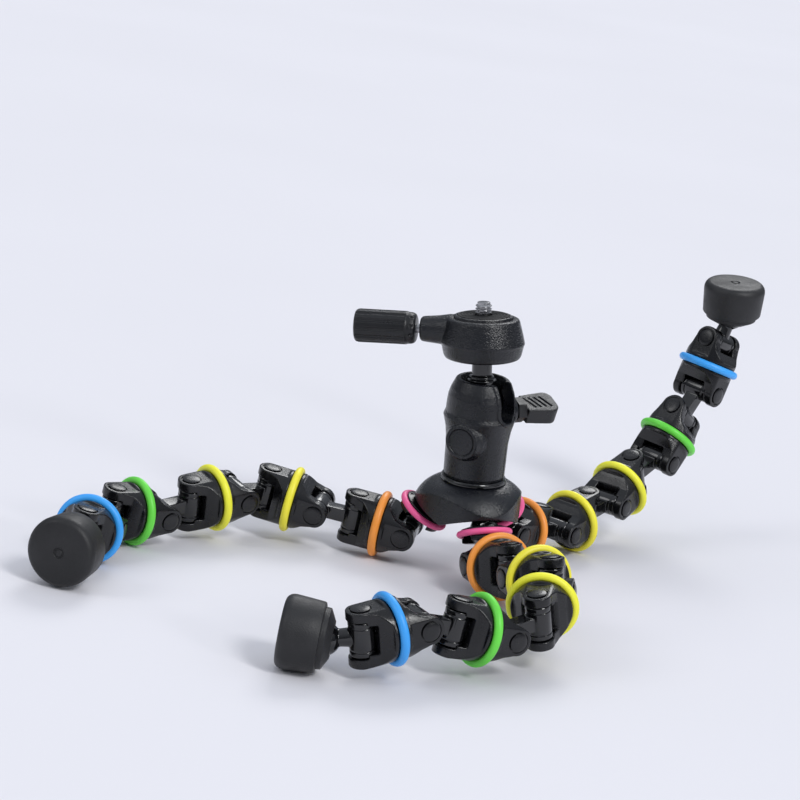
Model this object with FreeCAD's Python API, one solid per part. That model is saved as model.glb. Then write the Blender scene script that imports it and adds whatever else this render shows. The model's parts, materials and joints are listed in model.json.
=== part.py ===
import FreeCAD, Part
import math
import os

# Phone tripod with three jointed legs, modelled as it stands on a flat surface.
# Millimetres, +Z up, origin on the surface under the middle of the whole part.
# Every shape is drawn in the frame of its own piece and then carried to its place by the chain
# of joints that holds it, so the rest pose is a list of joint angles.

Vector = FreeCAD.Vector
Rotation = FreeCAD.Rotation
Placement = FreeCAD.Placement
X_AXIS = Vector(1, 0, 0)
Y_AXIS = Vector(0, 1, 0)
Z_AXIS = Vector(0, 0, 1)
ORIGIN = Vector(0, 0, 0)

# Clearances
RUNNING_CLEARANCE = 0.05
SIDE_CLEARANCE = 0.2
SWING_CLEARANCE = 0.6

# Hinge pins of the legs
PIN_RADIUS = 2.0
PIN_HEAD_RADIUS = 3.4
PIN_HEAD_HEIGHT = 0.7

# Leg link: two forks at right angles with a waist between them
LINK_PIN_SPACING = 21.2
LINK_RADIUS = 11.2
WAIST_LENGTH = 6.6
EAR_RADIUS = 5.2
EAR_THICKNESS = 3.4
EAR_GAP = 13.6
SHOULDER_HALF_HEIGHT = 9.6
EAR_EDGE_ROUND = 0.7

# Rubber ring round each waist
RING_TUBE_RADIUS = 1.6
RING_GROOVE_DEPTH = 1.2
RING_GROOVE_SLACK = 0.1

# Connector between two links: two crossed barrels on one neck
CONNECTOR_LENGTH = 15.0
BARREL_RADIUS = 4.3
NECK_RADIUS = 3.1

# Leg root: the short collar that tilts under the hub and carries the first connector
ROOT_HINGE_RADIUS = 12.0
ROOT_HINGE_DEPTH = 8.0
ROOT_PIN_DISTANCE = 10.8
ROOT_CONNECTOR_LENGTH = 12.0
ROOT_BARREL_LENGTH = 9.4
ROOT_COLLAR_RADIUS = 9.1
ROOT_COLLAR_START = 9.4
ROOT_NECK_RADIUS = 5.4
ROOT_NECK_END = 8.4
ROOT_END_BEYOND_PIN = 3.7
ROOT_TONGUE_WIDTH = 8.0
ROOT_TONGUE_RADIUS = 3.2
ROOT_HINGE_PIN_RADIUS = 1.4
ROOT_RING_FROM_PIN = 0.4
ROOT_RING_TUBE_RADIUS = 1.25
ROOT_RING_GROOVE_DEPTH = 0.8
ROOT_PIN_SINK = 0.2
ROOT_LUG_THICKNESS = 2.4

# Hub shell: a bell with three blunt lobes, one over each leg root
HUB_NECK_RADIUS = 12.0
HUB_SEAT_RING_RADIUS = 12.5
HUB_SEAT_RING_HEIGHT = 0.9
HUB_LOBE_RADIUS = 22.0
HUB_CORNER_RADIUS = 19.0
HUB_NECK_DEPTH = 1.7
HUB_SHOULDER_DEPTH = 4.6
HUB_SHOULDER_RADIUS = 18.1
HUB_WALL_TOP_DEPTH = 10.0
HUB_TIP_DEPTH = 11.1
HUB_CORNER_DEPTH = 17.0
HUB_WALL = 1.3
HUB_ROOF = 1.4
HUB_CORE_RADIUS = 4.2

# Ball head housing
HOUSING_BASE_RADIUS = 11.9
HOUSING_LEDGE_RADIUS = 14.0
HOUSING_UPPER_RADIUS = 13.4
HOUSING_HEIGHT = 39.0
HOUSING_LEDGE_START = 14.0
HOUSING_LEDGE_HEIGHT = 25.8
HOUSING_LEDGE_THICKNESS = 2.0
HOUSING_DOME_START = 29.5
HOUSING_RIM_RADIUS = 9.9
HOUSING_RIM_WIDTH = 1.1
BALL_RADIUS = 8.2
BALL_HEIGHT = 30.0
BALL_CLEARANCE = 0.3
SLOT_WIDTH = 8.4
SLOT_FLOOR_HEIGHT = 24.4
SLOT_AZIMUTH = -36.0
BOSS_HEIGHT = 16.4
BOSS_AZIMUTH = -116.0
BOSS_RADIUS = 6.9
BOSS_CAP_RADIUS = 5.1
BOSS_CAP_DEPTH = 2.0
BOSS_CAP_SINK = 0.3
BOSS_REACH = 14.3
HUB_SCREW_RADIUS = 3.0
HUB_SCREW_REACH = 6.0

# Stem and platform
BALL_LEAN_BACK = 4.0
BALL_LEAN_LEFT = 4.0
STEM_RADIUS = 3.9
STEM_COLLAR_RADIUS = 5.6
STEM_COLLAR_HEIGHT = 1.2
PLATFORM_BASE_HEIGHT = 46.6
PLATFORM_HEIGHT = 16.0
PLATFORM_BASE_RADIUS = 15.0
PLATFORM_RIDGE_RADIUS = 16.2
PLATFORM_TOP_RADIUS = 13.8
PLATFORM_RIDGE_RISE = 6.2
PLATFORM_EDGE_ROUND = 1.2
STEM_THREAD_REACH = 5.0

# Mount plate, clamped in the top of the platform, with its captive screw
PLATE_RADIUS = 11.2
PLATE_THICKNESS = 4.0
PLATE_STAND_PROUD = 1.0
PLATE_FIT = 0.15
PAD_THICKNESS = 0.8
PAD_PROUD = 0.3
PAD_INSET = 1.2
MOUNT_SCREW_RADIUS = 3.175
MOUNT_SCREW_REACH = 5.2
MOUNT_SCREW_NECK_RADIUS = 2.6
MOUNT_SCREW_NECK_PROUD = 0.4
MOUNT_SCREW_HEAD_RADIUS = 6.0
MOUNT_SCREW_HEAD_HEIGHT = 2.0

# Clamp knob for the mount plate
CLAMP_AZIMUTH = 172.0
CLAMP_RISE = 10.5
CLAMP_BOSS_RADIUS = 5.0
CLAMP_BOSS_REACH = 24.2
CLAMP_SHAFT_RADIUS = 1.8
CLAMP_SHAFT_START = 7.7
CLAMP_SHAFT_GAP = 1.6
CLAMP_KNOB_RADIUS = 6.5
CLAMP_KNOB_LENGTH = 24.0
CLAMP_KNOB_ROUND = 1.5
CLAMP_KNOB_GROOVES = 12
CLAMP_GROOVE_RADIUS = 0.8
CLAMP_GROOVE_START = 4.0

# Lock knob for the ball
LOCK_AZIMUTH = 30.0
LOCK_HEIGHT = 25.4
LOCK_PAD_REACH = 14.6
LOCK_BORE_RADIUS = 2.2
LOCK_COLLAR_RADIUS = 5.0
LOCK_COLLAR_LENGTH = 3.6
LOCK_STAND_OFF = 0.5
LOCK_WING_LENGTH = 14.0
LOCK_WING_HALF_WIDTH = 6.4
LOCK_WING_THICKNESS = 6.8
LOCK_WING_ROUND = 4.0
LOCK_WING_RIBS = 4
LOCK_RIB_PITCH = 2.4
LOCK_RIB_WIDTH = 1.0
LOCK_RIB_DEPTH = 0.4
LOCK_WING_TURN = 20.0

# Foot: a stem with a ball and a rubber cap
FOOT_STEM_LENGTH = 13.0
FOOT_ROD_RADIUS = 3.0
FOOT_BALL_RADIUS = 6.0
FOOT_BALL_CLEARANCE = 0.08
FOOT_SOLE_DISTANCE = 15.0
FOOT_CAP_LENGTH = 15.6
FOOT_SOLE_RADIUS = 13.5
FOOT_BACK_RADIUS = 12.6
FOOT_LIP_RADIUS = 10.2
FOOT_CONE_RADIUS = 6.8
FOOT_CONE_LENGTH = 2.4
FOOT_EDGE_ROUND = 1.5
FOOT_DIMPLE_RADIUS = 1.6
FOOT_DIMPLE_DEPTH = 0.4

# Rest pose, in degrees. The hub leans, and each leg is root tilt, then one turn at each pin.
HUB_LEAN_LEFT = 3.2
HUB_LEAN_FORWARD = 3.41
FRONT_LEG_AZIMUTH = -68.8
LEG_SPREAD = 120.0
LINKS_PER_LEG = 5
LOBE_POINTS = 36

REST_POSE = {
    "left": {"azimuth": FRONT_LEG_AZIMUTH - LEG_SPREAD, "root": 56.5,
             "swing": [-2.0, 3.0, 46.0, 2.0, 38.0, 11.0],
             "nod": [-63.5, -3.0, 9.5, -11.5, -6.0],
             "foot": (3.0, -16.0)},
    "front": {"azimuth": FRONT_LEG_AZIMUTH, "root": 63.0,
              "swing": [4.0, 2.0, -33.0, -50.0, -3.0, -28.0],
              "nod": [-76.0, 1.5, 15.5, -24.5, 22.0],
              "foot": (-13.2, -5.0)},
    "right": {"azimuth": FRONT_LEG_AZIMUTH + LEG_SPREAD, "root": 59.0,
              "swing": [1.0, 2.0, 2.0, -6.0, -1.0, -4.0],
              "nod": [-47.5, -18.0, -15.0, -28.0, -19.0],
              "foot": (-25.0, 5.0)},
}


def moved(x=0.0, y=0.0, z=0.0):
    return Placement(Vector(x, y, z), Rotation())


def turned(axis, degrees):
    return Placement(ORIGIN, Rotation(axis, degrees))


def cylinder_x(radius, start, end):
    return Part.makeCylinder(radius, end - start, Vector(start, 0, 0), X_AXIS)


def cylinder_between(radius, start, end):
    along = end - start
    return Part.makeCylinder(radius, along.Length, start, along)


def cone_x(radius_start, radius_end, start, end):
    return Part.makeCone(radius_start, radius_end, end - start, Vector(start, 0, 0), X_AXIS)


def centred_box(size, centre):
    corner = centre - size * 0.5
    return Part.makeBox(size.x, size.y, size.z, corner)


def profile_face(points):
    return Part.Face(Part.makePolygon(points + [points[0]]))


def revolved_x(points):
    """Solid of revolution about X from (x, radius) points."""
    face = profile_face([Vector(x, radius, 0) for x, radius in points])
    return face.revolve(ORIGIN, X_AXIS, 360)


def revolved_z(points):
    """Solid of revolution about Z from (radius, z) points."""
    face = profile_face([Vector(radius, 0, z) for radius, z in points])
    return face.revolve(ORIGIN, Z_AXIS, 360)


def revolved_curve(edges):
    """Solid of revolution about Z from connected edges drawn in the XZ plane."""
    return Part.Face(Part.Wire(edges)).revolve(ORIGIN, Z_AXIS, 360)


def line_rz(start, end):
    return Part.makeLine(Vector(start[0], 0, start[1]), Vector(end[0], 0, end[1]))


def arc_rz(start, through, end):
    points = [Vector(radius, 0, height) for radius, height in (start, through, end)]
    return Part.Arc(*points).toShape()


def torus_x(ring_radius, tube_radius, place):
    return Part.makeTorus(ring_radius, tube_radius, Vector(place, 0, 0), X_AXIS)


# Derived sizes of the leg joints
EAR_OUTER = EAR_GAP / 2 + EAR_THICKNESS
GAP_FLOOR = BARREL_RADIUS + SWING_CLEARANCE
BARREL_LENGTH = EAR_GAP - 2 * SIDE_CLEARANCE
WAIST_START = (LINK_PIN_SPACING - WAIST_LENGTH) / 2
WAIST_END = WAIST_START + WAIST_LENGTH
RING_PLACE = LINK_PIN_SPACING / 2
RING_GROOVE_RADIUS = LINK_RADIUS - RING_GROOVE_DEPTH
RING_RADIUS = RING_GROOVE_RADIUS + RING_TUBE_RADIUS
BORE_RADIUS = PIN_RADIUS + RUNNING_CLEARANCE


def hinge_pin(place, axis, half_length):
    """Headed pin across a fork, centred on place."""
    shank = cylinder_between(PIN_RADIUS, place - axis * half_length, place + axis * half_length)
    for side in (-1, 1):
        face = place + axis * (side * half_length)
        head = cylinder_between(PIN_HEAD_RADIUS, face, face + axis * (side * PIN_HEAD_HEIGHT))
        shank = shank.fuse(head)
    return shank.removeSplitter()


def fork_blank(pin_place, waist_face):
    """Side outline of one fork in the XZ plane, swept across the full ear width along Y."""
    towards = 1 if waist_face > pin_place else -1
    reach = abs(waist_face - pin_place)
    lean = math.atan2(SHOULDER_HALF_HEIGHT - EAR_RADIUS, reach)
    tip_x = pin_place - towards * EAR_RADIUS
    touch_x = pin_place - towards * EAR_RADIUS * math.sin(lean)
    touch_z = EAR_RADIUS * math.cos(lean)
    arc = Part.Arc(Vector(touch_x, 0, touch_z), Vector(tip_x, 0, 0), Vector(touch_x, 0, -touch_z))
    lower = Part.makeLine(Vector(touch_x, 0, -touch_z), Vector(waist_face, 0, -SHOULDER_HALF_HEIGHT))
    back = Part.makeLine(Vector(waist_face, 0, -SHOULDER_HALF_HEIGHT),
                         Vector(waist_face, 0, SHOULDER_HALF_HEIGHT))
    upper = Part.makeLine(Vector(waist_face, 0, SHOULDER_HALF_HEIGHT), Vector(touch_x, 0, touch_z))
    face = Part.Face(Part.Wire([arc.toShape(), lower, back, upper]))
    face.translate(Vector(0, -EAR_OUTER, 0))
    return face.extrude(Vector(0, 2 * EAR_OUTER, 0))


def fork_gap(pin_place, towards):
    """Slot between the ears, open at the tip and with a rounded floor."""
    tip = pin_place - towards * (LINK_RADIUS + EAR_RADIUS)
    floor = pin_place + towards * (GAP_FLOOR - EAR_EDGE_ROUND)
    slot = centred_box(Vector(abs(floor - tip), EAR_GAP, 4 * LINK_RADIUS), Vector((tip + floor) / 2, 0, 0))
    nose = centred_box(Vector(2 * EAR_EDGE_ROUND, EAR_GAP - 2 * EAR_EDGE_ROUND, 4 * LINK_RADIUS),
                       Vector(floor, 0, 0))
    gap = slot.fuse(nose)
    for side in (-1, 1):
        corner = Vector(floor, side * (EAR_GAP / 2 - EAR_EDGE_ROUND), 0)
        round_edge = cylinder_between(EAR_EDGE_ROUND, corner - Z_AXIS * 2 * LINK_RADIUS,
                                      corner + Z_AXIS * 2 * LINK_RADIUS)
        gap = gap.fuse(round_edge)
    return gap


def rounded_where(shape, radius, wanted):
    """Fillet the edges whose middle point is wanted."""
    edges = []
    for edge in shape.Edges:
        middle = edge.valueAt((edge.FirstParameter + edge.LastParameter) / 2)
        if wanted(edge, middle):
            edges.append(edge)
    return shape.makeFillet(radius, edges)


def link_body():
    """One leg link: head pin at the origin along Y, foot pin at the far end along Z."""
    head = fork_blank(0, WAIST_START)
    foot = fork_blank(LINK_PIN_SPACING, WAIST_END)
    foot.rotate(ORIGIN, X_AXIS, 90)
    waist = cylinder_x(LINK_RADIUS, WAIST_START, WAIST_END)
    sleeve = cylinder_x(LINK_RADIUS, -2 * EAR_RADIUS, LINK_PIN_SPACING + 2 * EAR_RADIUS)
    head = head.common(sleeve)
    foot = foot.common(sleeve)
    head = head.cut(fork_gap(0, 1))
    foot_gap = fork_gap(LINK_PIN_SPACING, -1)
    foot_gap.rotate(ORIGIN, X_AXIS, 90)
    body = waist.fuse([head, foot]).removeSplitter()
    body = body.cut(fork_gap(0, 1)).cut(foot_gap)
    groove_half = RING_TUBE_RADIUS + RING_GROOVE_SLACK
    groove = cylinder_x(2 * LINK_RADIUS, RING_PLACE - groove_half, RING_PLACE + groove_half)
    groove = groove.cut(cylinder_x(RING_GROOVE_RADIUS, RING_PLACE - groove_half, RING_PLACE + groove_half))
    body = body.cut(groove)

    def ear_outline(edge, middle):
        on_head = abs(abs(middle.y) - EAR_OUTER) < 0.01 and middle.x < WAIST_START - 0.5
        on_foot = abs(abs(middle.z) - EAR_OUTER) < 0.01 and middle.x > WAIST_END + 0.5
        return on_head or on_foot

    body = rounded_where(body, EAR_EDGE_ROUND, ear_outline)
    body = body.cut(cylinder_between(PIN_RADIUS, -Y_AXIS * 2 * EAR_OUTER, Y_AXIS * 2 * EAR_OUTER))
    far = Vector(LINK_PIN_SPACING, 0, 0)
    return body.cut(cylinder_between(PIN_RADIUS, far - Z_AXIS * 2 * EAR_OUTER, far + Z_AXIS * 2 * EAR_OUTER))


def link_shape():
    body = link_body()
    head_pin = hinge_pin(ORIGIN, Y_AXIS, EAR_OUTER)
    foot_pin = hinge_pin(Vector(LINK_PIN_SPACING, 0, 0), Z_AXIS, EAR_OUTER)
    return Part.makeCompound([body, head_pin, foot_pin])


def ring_shape():
    return torus_x(RING_RADIUS, RING_TUBE_RADIUS, RING_PLACE)


def barrel(place, axis, length):
    return cylinder_between(BARREL_RADIUS, place - axis * (length / 2), place + axis * (length / 2))


def bore(place, axis):
    return cylinder_between(BORE_RADIUS, place - axis * BARREL_LENGTH, place + axis * BARREL_LENGTH)


def connector_shape(length, near_barrel_length):
    """Barrel along Z at the origin, barrel along Y at the far end, and the neck between them."""
    far = Vector(length, 0, 0)
    body = barrel(ORIGIN, Z_AXIS, near_barrel_length).fuse(cylinder_x(NECK_RADIUS, 0, length))
    body = body.fuse(barrel(far, Y_AXIS, BARREL_LENGTH)).removeSplitter()
    return body.cut(bore(ORIGIN, Z_AXIS)).cut(bore(far, Y_AXIS))


# Derived sizes of the leg root
ROOT_END = ROOT_PIN_DISTANCE + ROOT_END_BEYOND_PIN
ROOT_RING_PLACE = ROOT_PIN_DISTANCE + ROOT_RING_FROM_PIN
ROOT_GROOVE_RADIUS = ROOT_COLLAR_RADIUS - ROOT_RING_GROOVE_DEPTH
ROOT_RING_RADIUS = ROOT_GROOVE_RADIUS + ROOT_RING_TUBE_RADIUS
ROOT_PIN_HALF = ROOT_GROOVE_RADIUS - ROOT_PIN_SINK
ROOT_GAP = ROOT_BARREL_LENGTH + 2 * SIDE_CLEARANCE


def root_body():
    """Collar with a tongue for the hub hinge (pin along Y) and a slot for the first connector."""
    collar = cylinder_x(ROOT_COLLAR_RADIUS, ROOT_COLLAR_START, ROOT_END)
    neck = cone_x(ROOT_TONGUE_RADIUS, ROOT_NECK_RADIUS, ROOT_TONGUE_RADIUS, ROOT_NECK_END)
    shoulder = cone_x(ROOT_NECK_RADIUS, ROOT_COLLAR_RADIUS, ROOT_NECK_END, ROOT_COLLAR_START)
    half = ROOT_TONGUE_WIDTH / 2
    eye = cylinder_between(ROOT_TONGUE_RADIUS, -Y_AXIS * half, Y_AXIS * half)
    web = centred_box(Vector(ROOT_TONGUE_RADIUS, ROOT_TONGUE_WIDTH, 2 * ROOT_TONGUE_RADIUS),
                      Vector(ROOT_TONGUE_RADIUS / 2, 0, 0))
    body = collar.fuse([shoulder, neck, eye, web]).removeSplitter()
    place = Vector(ROOT_PIN_DISTANCE, 0, 0)
    slot = centred_box(Vector(2 * ROOT_END, 4 * ROOT_COLLAR_RADIUS, ROOT_GAP), place + X_AXIS * ROOT_END)
    seat_radius = BARREL_RADIUS + SIDE_CLEARANCE
    seat = cylinder_between(seat_radius, place - Z_AXIS * (ROOT_GAP / 2), place + Z_AXIS * (ROOT_GAP / 2))
    body = body.cut(slot).cut(seat)
    groove_half = ROOT_RING_TUBE_RADIUS + RING_GROOVE_SLACK
    start = ROOT_RING_PLACE - groove_half
    end = ROOT_RING_PLACE + groove_half
    groove = cylinder_x(2 * ROOT_COLLAR_RADIUS, start, end).cut(cylinder_x(ROOT_GROOVE_RADIUS, start, end))
    body = body.cut(groove)
    hinge = cylinder_between(ROOT_HINGE_PIN_RADIUS + RUNNING_CLEARANCE, -Y_AXIS * ROOT_TONGUE_WIDTH,
                             Y_AXIS * ROOT_TONGUE_WIDTH)
    return body.cut(hinge).cut(cylinder_between(PIN_RADIUS, place - Z_AXIS * ROOT_PIN_HALF,
                                                place + Z_AXIS * ROOT_PIN_HALF))


def root_shape():
    place = Vector(ROOT_PIN_DISTANCE, 0, 0)
    pin = cylinder_between(PIN_RADIUS, place - Z_AXIS * ROOT_PIN_HALF, place + Z_AXIS * ROOT_PIN_HALF)
    ring = torus_x(ROOT_RING_RADIUS, ROOT_RING_TUBE_RADIUS, ROOT_RING_PLACE)
    return Part.makeCompound([root_body(), pin, ring])


def foot_stem_shape():
    """Barrel along Z at the origin, a rod and a ball along X."""
    rod = cylinder_x(FOOT_ROD_RADIUS, 0, FOOT_STEM_LENGTH)
    ball = Part.makeSphere(FOOT_BALL_RADIUS, Vector(FOOT_STEM_LENGTH, 0, 0))
    body = barrel(ORIGIN, Z_AXIS, BARREL_LENGTH).fuse([rod, ball]).removeSplitter()
    return body.cut(bore(ORIGIN, Z_AXIS))


def foot_cap_shape():
    """Rubber cap about X, with the ball centre at the origin and the sole at the far end."""
    back = FOOT_SOLE_DISTANCE - FOOT_CAP_LENGTH
    lip = back + 1.6
    cone = back - FOOT_CONE_LENGTH
    outline = [(cone, 0), (cone, FOOT_CONE_RADIUS), (back, FOOT_LIP_RADIUS), (lip, FOOT_LIP_RADIUS),
               (lip, FOOT_BACK_RADIUS), (FOOT_SOLE_DISTANCE, FOOT_SOLE_RADIUS), (FOOT_SOLE_DISTANCE, 0)]
    body = revolved_x(outline)

    def sole_edge(edge, middle):
        radius = math.hypot(middle.y, middle.z)
        return abs(middle.x - FOOT_SOLE_DISTANCE) < 0.01 and radius > FOOT_SOLE_RADIUS - 0.01

    def lip_edge(edge, middle):
        radius = math.hypot(middle.y, middle.z)
        return abs(middle.x - lip) < 0.01 and abs(radius - FOOT_BACK_RADIUS) < 0.01

    body = rounded_where(body, FOOT_EDGE_ROUND, sole_edge)
    body = rounded_where(body, FOOT_EDGE_ROUND / 2, lip_edge)
    dimple_ring = Part.makeTorus(FOOT_DIMPLE_RADIUS, FOOT_DIMPLE_DEPTH, Vector(FOOT_SOLE_DISTANCE, 0, 0),
                                 X_AXIS)
    body = body.cut(dimple_ring)
    body = body.cut(Part.makeSphere(FOOT_BALL_RADIUS + FOOT_BALL_CLEARANCE, ORIGIN))
    mouth = math.sqrt((FOOT_BALL_RADIUS + FOOT_BALL_CLEARANCE) ** 2 - cone ** 2)
    flare = cone_x(mouth + 1.0, mouth, cone - 1.0, cone)
    return body.cut(flare)


def lobed_prism(inset, top, bottom):
    """Upright prism with three blunt lobes, one at each leg's direction."""
    points = []
    for step in range(LOBE_POINTS):
        angle = 2 * math.pi * step / LOBE_POINTS
        wave = (1 + math.cos(3 * (angle - math.radians(FRONT_LEG_AZIMUTH)))) / 2
        radius = HUB_CORNER_RADIUS + (HUB_LOBE_RADIUS - HUB_CORNER_RADIUS) * wave - inset
        points.append(Vector(radius * math.cos(angle), radius * math.sin(angle), bottom))
    curve = Part.BSplineCurve()
    curve.interpolate(points, True)
    face = Part.Face(Part.Wire([curve.toShape()]))
    return face.extrude(Vector(0, 0, top - bottom))


def rim_cutter(azimuth):
    """Block that cuts away everything below the slanted rim of one lobe."""
    chord = HUB_CORNER_RADIUS * math.cos(math.radians(LEG_SPREAD / 2))
    slope = math.degrees(math.atan2(HUB_CORNER_DEPTH - HUB_TIP_DEPTH, HUB_LOBE_RADIUS - chord))
    size = 4 * HUB_LOBE_RADIUS
    block = Part.makeBox(size, size, size, Vector(0, -size / 2, -size))
    block.Placement = (turned(Z_AXIS, azimuth) * moved(chord, 0, -HUB_CORNER_DEPTH)
                       * turned(Y_AXIS, -slope))
    return block


def bell(inset, drop, roof, bottom):
    """Bell of revolution, drawn in by inset and lowered by drop."""
    neck = (HUB_NECK_RADIUS - inset, -HUB_NECK_DEPTH - drop)
    shoulder = (HUB_SHOULDER_RADIUS - inset, -HUB_SHOULDER_DEPTH - drop)
    wall = (HUB_LOBE_RADIUS - inset, -HUB_WALL_TOP_DEPTH - drop)
    foot = (HUB_LOBE_RADIUS - inset, bottom)
    edges = [line_rz((0, roof), (neck[0], roof)), line_rz((neck[0], roof), neck),
             arc_rz(neck, shoulder, wall), line_rz(wall, foot), line_rz(foot, (0, bottom)),
             line_rz((0, bottom), (0, roof))]
    return revolved_curve(edges)


def hub_shape():
    """Bell shell with its seat ring and hinge lugs, and the three hinge pins."""
    bottom = -2 * HUB_CORNER_DEPTH
    shell = bell(0, 0, 0, -HUB_CORNER_DEPTH).common(lobed_prism(0, HUB_ROOF, bottom))
    roof = -HUB_NECK_DEPTH - HUB_ROOF / 2
    hollow = bell(HUB_WALL, HUB_ROOF, roof, bottom).common(lobed_prism(HUB_WALL, 0, bottom))
    shell = shell.cut(hollow)
    seat_ring = Part.makeCylinder(HUB_SEAT_RING_RADIUS, HUB_SEAT_RING_HEIGHT,
                                  Vector(0, 0, -HUB_SEAT_RING_HEIGHT), Z_AXIS)
    core = Part.makeCylinder(HUB_CORE_RADIUS, ROOT_HINGE_DEPTH, Vector(0, 0, -ROOT_HINGE_DEPTH), Z_AXIS)
    shell = shell.fuse([seat_ring, core])
    inner_face = ROOT_TONGUE_WIDTH / 2 + SIDE_CLEARANCE
    outer_face = inner_face + ROOT_LUG_THICKNESS
    pins = []
    for spec in REST_POSE.values():
        shell = shell.cut(rim_cutter(spec["azimuth"]))
        place = turned(Z_AXIS, spec["azimuth"]) * moved(ROOT_HINGE_RADIUS, 0, -ROOT_HINGE_DEPTH)
        for side in (-1, 1):
            start = Vector(0, side * inner_face, 0)
            end = Vector(0, side * outer_face, 0)
            lug_height = ROOT_HINGE_DEPTH - HUB_SHOULDER_DEPTH + HUB_ROOF / 2
            web = centred_box(Vector(2 * ROOT_TONGUE_RADIUS, ROOT_LUG_THICKNESS, lug_height),
                              (start + end) / 2 + Z_AXIS * (lug_height / 2))
            lug = cylinder_between(ROOT_TONGUE_RADIUS, start, end).fuse(web)
            lug = lug.cut(cylinder_between(ROOT_HINGE_PIN_RADIUS, start * 0.5, end * 2))
            lug.Placement = place
            shell = shell.fuse(lug)
        pin = cylinder_between(ROOT_HINGE_PIN_RADIUS, -Y_AXIS * outer_face, Y_AXIS * outer_face)
        pin.Placement = place
        pins.append(pin)
    thread = Part.makeCylinder(HUB_SCREW_RADIUS, HUB_SCREW_REACH, Vector(0, 0, -HUB_SCREW_REACH), Z_AXIS)
    return Part.makeCompound([shell.cut(thread).removeSplitter()] + pins)


def radial(azimuth, height, start, end, radius):
    """Cylinder along a horizontal radius of the head."""
    body = cylinder_x(radius, start, end)
    body.Placement = turned(Z_AXIS, azimuth) * Placement(Vector(0, 0, height), Rotation())
    return body


def housing_shape():
    """Bottle-shaped ball housing with its boss, the boss cap and the screw into the hub."""
    ledge_bottom = (HOUSING_LEDGE_RADIUS, HOUSING_LEDGE_HEIGHT - HOUSING_LEDGE_THICKNESS)
    ledge_top = (HOUSING_UPPER_RADIUS, HOUSING_LEDGE_HEIGHT)
    waist = (HOUSING_BASE_RADIUS, HOUSING_LEDGE_START)
    flare = ((waist[0] * 2 + ledge_bottom[0]) / 3, (waist[1] + ledge_bottom[1]) / 2)
    dome = (HOUSING_UPPER_RADIUS, HOUSING_DOME_START)
    rim = (HOUSING_RIM_RADIUS, HOUSING_HEIGHT)
    bulge = ((dome[0] * 2 + rim[0]) / 3 + 0.3, (dome[1] + rim[1]) / 2)
    edges = [line_rz((0, 0), (HOUSING_BASE_RADIUS, 0)), line_rz((HOUSING_BASE_RADIUS, 0), waist),
             arc_rz(waist, flare, ledge_bottom), line_rz(ledge_bottom, ledge_top),
             line_rz(ledge_top, dome), arc_rz(dome, bulge, rim), line_rz(rim, (0, HOUSING_HEIGHT)),
             line_rz((0, HOUSING_HEIGHT), (0, 0))]
    body = revolved_curve(edges)
    boss = radial(BOSS_AZIMUTH, BOSS_HEIGHT, 0, BOSS_REACH, BOSS_RADIUS)
    lock_pad = radial(LOCK_AZIMUTH, LOCK_HEIGHT, 0, LOCK_PAD_REACH, LOCK_COLLAR_RADIUS)
    body = body.fuse([boss, lock_pad]).removeSplitter()
    socket_radius = BALL_RADIUS + BALL_CLEARANCE
    body = body.cut(Part.makeSphere(socket_radius, Vector(0, 0, BALL_HEIGHT)))
    mouth_depth = (HOUSING_HEIGHT - BALL_HEIGHT) / 2
    throat = math.sqrt(socket_radius ** 2 - mouth_depth ** 2)
    mouth = HOUSING_RIM_RADIUS - HOUSING_RIM_WIDTH
    body = body.cut(Part.makeCone(throat, mouth, HOUSING_HEIGHT - BALL_HEIGHT - mouth_depth,
                                  Vector(0, 0, BALL_HEIGHT + mouth_depth), Z_AXIS))
    slot_axis = SLOT_FLOOR_HEIGHT + SLOT_WIDTH / 2
    reach = 2 * HOUSING_LEDGE_RADIUS
    slot = centred_box(Vector(reach, SLOT_WIDTH, reach), Vector(reach / 2, 0, slot_axis + reach / 2))
    slot.Placement = turned(Z_AXIS, SLOT_AZIMUTH) * slot.Placement
    body = body.cut(slot).cut(radial(SLOT_AZIMUTH, slot_axis, 0, reach, SLOT_WIDTH / 2))
    cap_start = BOSS_REACH - BOSS_CAP_SINK - BOSS_CAP_DEPTH
    body = body.cut(radial(BOSS_AZIMUTH, BOSS_HEIGHT, cap_start, reach, BOSS_CAP_RADIUS))
    body = body.cut(radial(LOCK_AZIMUTH, LOCK_HEIGHT, BALL_RADIUS / 2, reach,
                           LOCK_BORE_RADIUS + RUNNING_CLEARANCE))
    body = body.cut(Part.makeCylinder(HUB_SCREW_RADIUS, HUB_SCREW_REACH, ORIGIN, Z_AXIS))
    screw = Part.makeCylinder(HUB_SCREW_RADIUS, 2 * HUB_SCREW_REACH, Vector(0, 0, -HUB_SCREW_REACH), Z_AXIS)
    cap = radial(BOSS_AZIMUTH, BOSS_HEIGHT, cap_start, BOSS_REACH - BOSS_CAP_SINK, BOSS_CAP_RADIUS)
    return Part.makeCompound([body, cap, screw])


def ball_stem_shape():
    """Ball, stem with two collars, and the threaded end in the platform."""
    end = PLATFORM_BASE_HEIGHT + STEM_THREAD_REACH
    body = Part.makeSphere(BALL_RADIUS, Vector(0, 0, BALL_HEIGHT))
    body = body.fuse(Part.makeCylinder(STEM_RADIUS, end - BALL_HEIGHT, Vector(0, 0, BALL_HEIGHT), Z_AXIS))
    neck = BALL_HEIGHT + BALL_RADIUS - STEM_COLLAR_HEIGHT / 2
    collar = Part.makeCylinder(STEM_COLLAR_RADIUS, STEM_COLLAR_HEIGHT, Vector(0, 0, neck), Z_AXIS)
    step = Part.makeCylinder((STEM_COLLAR_RADIUS + STEM_RADIUS) / 2, 2 * STEM_COLLAR_HEIGHT,
                             Vector(0, 0, neck), Z_AXIS)
    return body.fuse([collar, step]).removeSplitter()


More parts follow.
